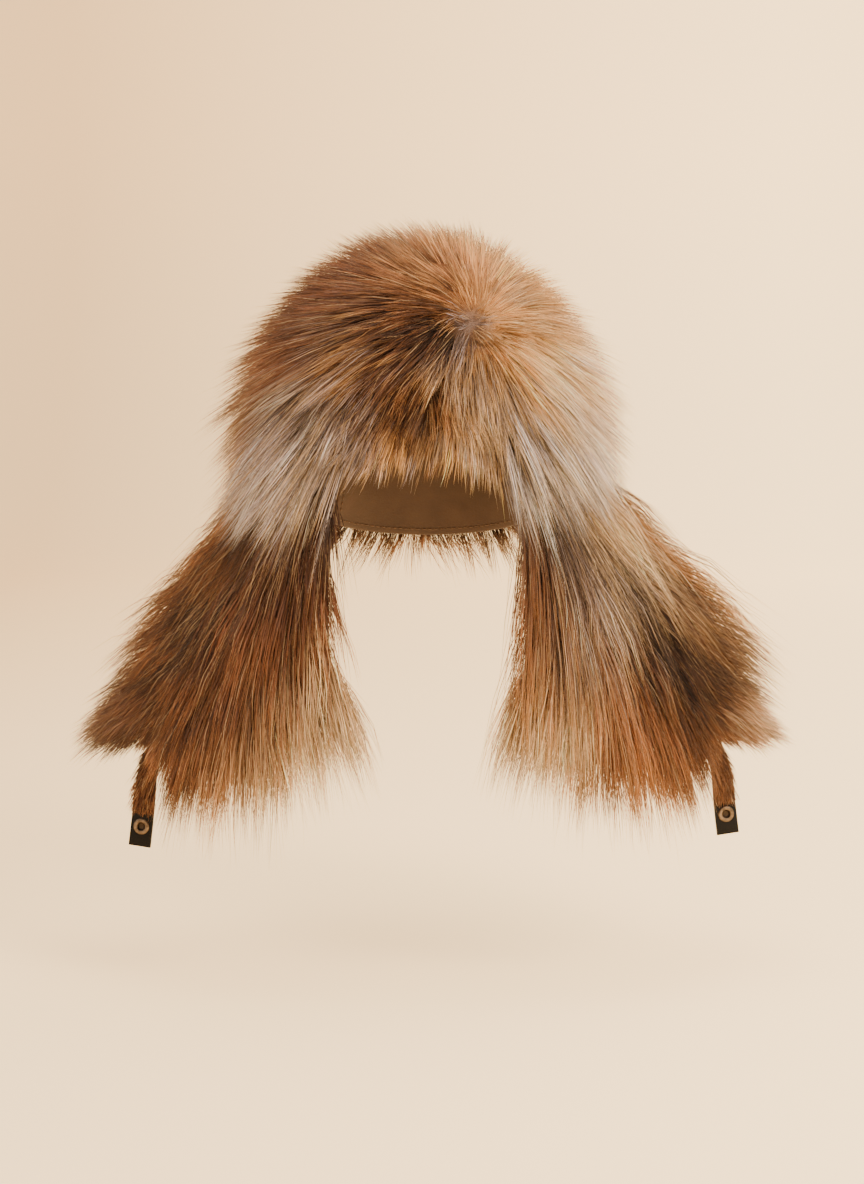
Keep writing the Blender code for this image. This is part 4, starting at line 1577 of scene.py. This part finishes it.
def roll_rims(bm: Net, width: float, steepest: float = radians(50)) -> None:
    """Rounds the edges of a mesh that are steeper than an angle."""
    rims = [edge for edge in bm.edges if edge.calc_face_angle(0) > steepest]
    bmesh.ops.bevel(
        bm, geom=rims, offset=width, segments=3, profile=0.5, affect="EDGES", material=-1, clamp_overlap=True
    )


@dataclass
class CrownShell:
    """The leather dome inside the crown, sewn from gores."""

    net: tuple[int, int] = (96, 28)
    gores: int = 4
    line_points: tuple[int, int] = (400, 200)
    rim_margin: float = radians(2.4)
    peak: float = radians(82)
    gore_split: float = radians(1.4)
    least_cosine: float = 0.12
    rim_width: float = 0.0010
    seam: Seam = field(default_factory=Seam)

    def build(self, finishes: Finishes) -> None:
        """Makes the dome and its seams."""
        bm = dome_wall(*self.net, 0, even(WALLS.leather))
        roll_rims(bm, self.rim_width)
        dress(add_piece("crown_shell_hide", bm, finishes.brown_hide), "hide_brown", "crown_shell")
        points_round, points_up = self.line_points
        around = np.linspace(-pi, pi, points_round)
        up = np.linspace(2 * self.rim_margin, self.peak, points_up)
        lines = [np.stack((around, np.full(points_round, self.rim_margin)), -1)]
        for gore in range(self.gores):
            middle = 2 * pi * (gore + 0.5) / self.gores
            split = self.gore_split / np.maximum(self.least_cosine, np.cos(up))
            lines += [np.stack((middle + side * split, up), -1) for side in (-1, 1)]
        seams = [self.seam.needles(HAT.crown, line, 0) for line in lines]
        add_stitches("crown_shell_stitches", "crown_shell", seams, finishes.thread)


@dataclass
class HidePanel:
    """A leather panel with rolled rims and a row of stitches along its free edges.

    Its half size, in metres across and along, turns the stitches' margin into its own coordinates.
    """

    node: str
    surface: Surface
    net: tuple[int, int]
    half_size: tuple[float, float]
    inside: float = 0
    margin: float = 0.0045
    start: float = -0.97
    line_points: int = 600
    rim_width: float = 0.0010
    seam: Seam = field(default_factory=Seam)

    def edge_line(self) -> Array:
        """Places along the free edges, in from them by the margin."""
        side, end = (1 - self.margin / half for half in self.half_size)
        corners = np.array(((-side, self.start), (-side, end), (side, end), (side, self.start)))
        steps = np.linspace(0, 3, self.line_points)
        return np.stack([np.interp(steps, range(4), corners[:, axis]) for axis in range(2)], -1)

    def build(self, finishes: Finishes) -> None:
        """Makes the panel and its stitches."""
        bm = panel_wall(self.surface, *self.net, self.inside, even(self.inside + WALLS.leather))
        roll_rims(bm, self.rim_width)
        dress(add_piece(self.node + "_hide", bm, finishes.brown_hide), "hide_brown", self.node)
        needles = self.seam.needles(self.surface, self.edge_line(), self.inside)
        add_stitches(self.node + "_stitches", self.node, [needles], finishes.thread)


@dataclass
class Strap:
    """A black leather strap with its press stud."""

    run: StrapRun
    edge: float = 0.0005
    flattest: float = radians(0.5)
    stud_up: float = 0.0145
    stud_edge: float = 0.00018
    stud_steepest: float = radians(25)
    recess: float = 0.0027
    floor: float = 0.0002
    barrel: float = 0.0033
    face: float = 0.0050
    radius: float = 0.0060
    seat_gap: float = 0.0003
    flange: float = 0.0007
    segments: int = 48

    def add_hide(self, finishes: Finishes) -> None:
        """Makes the strap from its solid, with its cut edges rounded."""
        node = "strap_" + self.run.side.word
        bm = bmesh.new()
        bm.from_mesh(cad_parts[node].data)
        bmesh.ops.remove_doubles(bm, verts=bm.verts, dist=MERGE_STEP)
        bmesh.ops.dissolve_limit(bm, angle_limit=self.flattest, verts=bm.verts, edges=bm.edges)
        roll_rims(bm, self.edge)
        dress(add_piece(node + "_hide", bm, finishes.black_hide), "hide_black", node)

    def stud_frame(self) -> Matrix:
        """The press stud's place and turn: its axis along the strap's facing."""
        middles, facings, headings = (Vector(rows[-1]) for rows in self.run.stations())
        turn = Matrix((headings.cross(facings), headings, facings)).transposed()
        return Matrix.Translation(middles - headings * self.stud_up) @ turn.to_4x4()

    def add_stud(self, finishes: Finishes) -> None:
        """Turns the press stud, with its recess in front and its cap behind, and rounds its edges."""
        seat = self.run.thick / 2 + self.seat_gap
        top = seat + self.flange
        outline = (
            (0.0, self.floor), (self.recess, self.floor), (self.recess, seat), (self.barrel, top),
            (self.face, top), (self.radius, seat), (self.barrel, seat), (self.barrel, -seat),
            (self.radius, -seat), (self.face, -top), (0.0, -top),
        )
        bm = bmesh.new()
        corners = [bm.verts.new((away, 0, height)) for away, height in outline]
        edges = [bm.edges.new(pair) for pair in zip(corners, corners[1:])]
        bmesh.ops.spin(
            bm, geom=edges, cent=(0, 0, 0), axis=(0, 0, 1), angle=2 * pi, steps=self.segments, use_merge=True
        )
        bmesh.ops.remove_doubles(bm, verts=bm.verts, dist=MERGE_STEP)
        bmesh.ops.recalc_face_normals(bm, faces=bm.faces)
        roll_rims(bm, self.stud_edge, self.stud_steepest)
        bmesh.ops.transform(bm, matrix=self.stud_frame(), verts=bm.verts)
        node = "press_stud_" + self.run.side.word
        dress(add_piece(node + "_brass", bm, finishes.brass), "old_brass", node)

    def build(self, finishes: Finishes) -> None:
        """Makes the strap and its press stud."""
        self.add_hide(finishes)
        self.add_stud(finishes)


@dataclass(frozen=True)
class PaperFinish:
    """The backdrop's warm paper, which glows with painted light that grows stronger towards one side."""

    name: str = "backdrop_paper"
    colour: Rgb = (0.96, 0.705, 0.405)
    glow: Rgb = (1.0, 0.765, 0.415)
    # painted light: how strongly the paper glows at its left and its right
    glow_left: float = 0.38
    glow_right: float = 1.90
    half_span: float = 0.8
    roughness: float = 0.9

    def material(self) -> Material:
        """Makes the material."""
        graph = Graph(self.name)
        inputs = {
            "Value": graph.add("SeparateXYZ", {"Vector": graph.place()}, "X"),
            "From Min": -self.half_span, "From Max": self.half_span,
            "To Min": self.glow_left, "To Max": self.glow_right,
        }
        return graph.finish({
            "Base Color": (*self.colour, 1),
            "Roughness": self.roughness,
            "Emission Color": (*self.glow, 1),
            # painted light: the paper's glow ramps up across X, brightest at the right
            "Emission Strength": graph.add("MapRange", inputs, "Result"),
        })


@dataclass
class Studio:
    """The pale room, its lights and the camera."""

    floor_height: float = -0.372
    half_width: float = 14.0
    front: float = -14.0
    back: float = 3.4
    curve: float = 0.9
    curve_steps: int = 12
    wall: float = 4.5
    lens: float = 85.0
    sensor: float = 36.0
    distance: float = 2.05
    elevation: float = radians(5)
    target: Point = (0.004, 0.0, -0.104)
    lit: Point = (0.0, 0.0, -0.05)
    world: Rgb = (1.0, 0.83, 0.65)
    world_strength: float = 1.15

    def add_camera(self) -> None:
        """Sets the camera at the photograph's angle."""
        data = bpy.data.cameras.new("camera")
        data.lens, data.sensor_width = self.lens, self.sensor
        camera = placed("camera", data)
        away = Vector((0, -cos(self.elevation), sin(self.elevation)))
        camera.location = Vector(self.target) + away * self.distance
        camera.rotation_euler = (-away).to_track_quat("-Z", "Y").to_euler()
        bpy.context.scene.camera = camera

    def add_light(self, name: str, place: Point, size: float, power: float, colour: Rgb) -> None:
        """Adds one soft lamp that faces the hat.

        Args:
            name: The lamp's name.
            place: Where it stands.
            size: The width of its square face.
            power: Its strength in watts.
            colour: Its colour.
        """
        data = bpy.data.lights.new(name, "AREA")
        data.size, data.energy, data.color = size, power, colour
        lamp = placed(name, data)
        lamp.location = place
        toward = Vector(self.lit) - Vector(place)
        lamp.rotation_euler = toward.to_track_quat("-Z", "Y").to_euler()

    def add_floor(self) -> None:
        """Adds a floor that curves up into a wall behind the hat."""
        bm = bmesh.new()
        ends = [bm.verts.new((x, self.front, self.floor_height)) for x in (-self.half_width, self.half_width)]
        edge = bm.edges.new(ends)

        def drawn(edges: list, vector: Point) -> list:
            """Draws a row of edges along, and gives the new row."""
            grown = bmesh.ops.extrude_edge_only(bm, edges=edges)["geom"]
            corners = [part for part in grown if isinstance(part, bmesh.types.BMVert)]
            bmesh.ops.translate(bm, verts=corners, vec=vector)
            return [
                part for part in grown
                if isinstance(part, bmesh.types.BMEdge) and all(corner in corners for corner in part.verts)
            ]

        row = drawn([edge], (0, self.back - self.front, 0))
        middle = (0, self.back, self.floor_height + self.curve)
        spun = bmesh.ops.spin(bm, geom=row, cent=middle, axis=(1, 0, 0), angle=pi / 2, steps=self.curve_steps)
        drawn([part for part in spun["geom_last"] if isinstance(part, bmesh.types.BMEdge)], (0, 0, self.wall))
        add_piece("backdrop", bm, PaperFinish().material())

    def build(self) -> None:
        """Sets up the room."""
        world = bpy.data.worlds.new("room")
        world.use_nodes = True
        light = world.node_tree.nodes["Background"]
        light.inputs["Color"].default_value = (*self.world, 1)
        light.inputs["Strength"].default_value = self.world_strength
        bpy.context.scene.world = world
        self.add_camera()
        self.add_floor()
        self.add_light("key", (1.3, -1.5, 1.1), 1.0, 62, (1.0, 0.86, 0.72))
        self.add_light("fill", (-1.6, -1.2, 0.6), 1.4, 9, (0.95, 0.95, 1.0))
        self.add_light("top", (0.1, 0.3, 1.7), 1.2, 18, (1.0, 0.93, 0.85))


def main() -> None:
    """Builds the studio and the hat's pieces, in order."""
    logging.basicConfig(level=logging.INFO, format="%(message)s")
    Studio().build()
    finishes = Finishes.make()
    crown = CrownFur()
    CrownShell().build(finishes)
    crown.build(finishes)
    HidePanel("visor_panel", HAT.visor, (40, 24), (0.066, 0.036), WALLS.visor_in).build(finishes)
    VisorFur(crown).build(finishes)
    HidePanel("nape_flap", HAT.nape, (40, 20), (0.072, 0.032)).build(finishes)
    NapeFur().build(finishes)
    for side in Side:
        fur, run = EarFlapFur(side), StrapRun(side)
        HidePanel(f"ear_flap_{side.word}", HAT.flap_of(side), (48, 56), (0.090, 0.100)).build(finishes)
        fur.build(finishes)
        Strap(run).build(finishes)
        StrapFur(run).build(finishes)


if __name__ == "__main__":
    main()
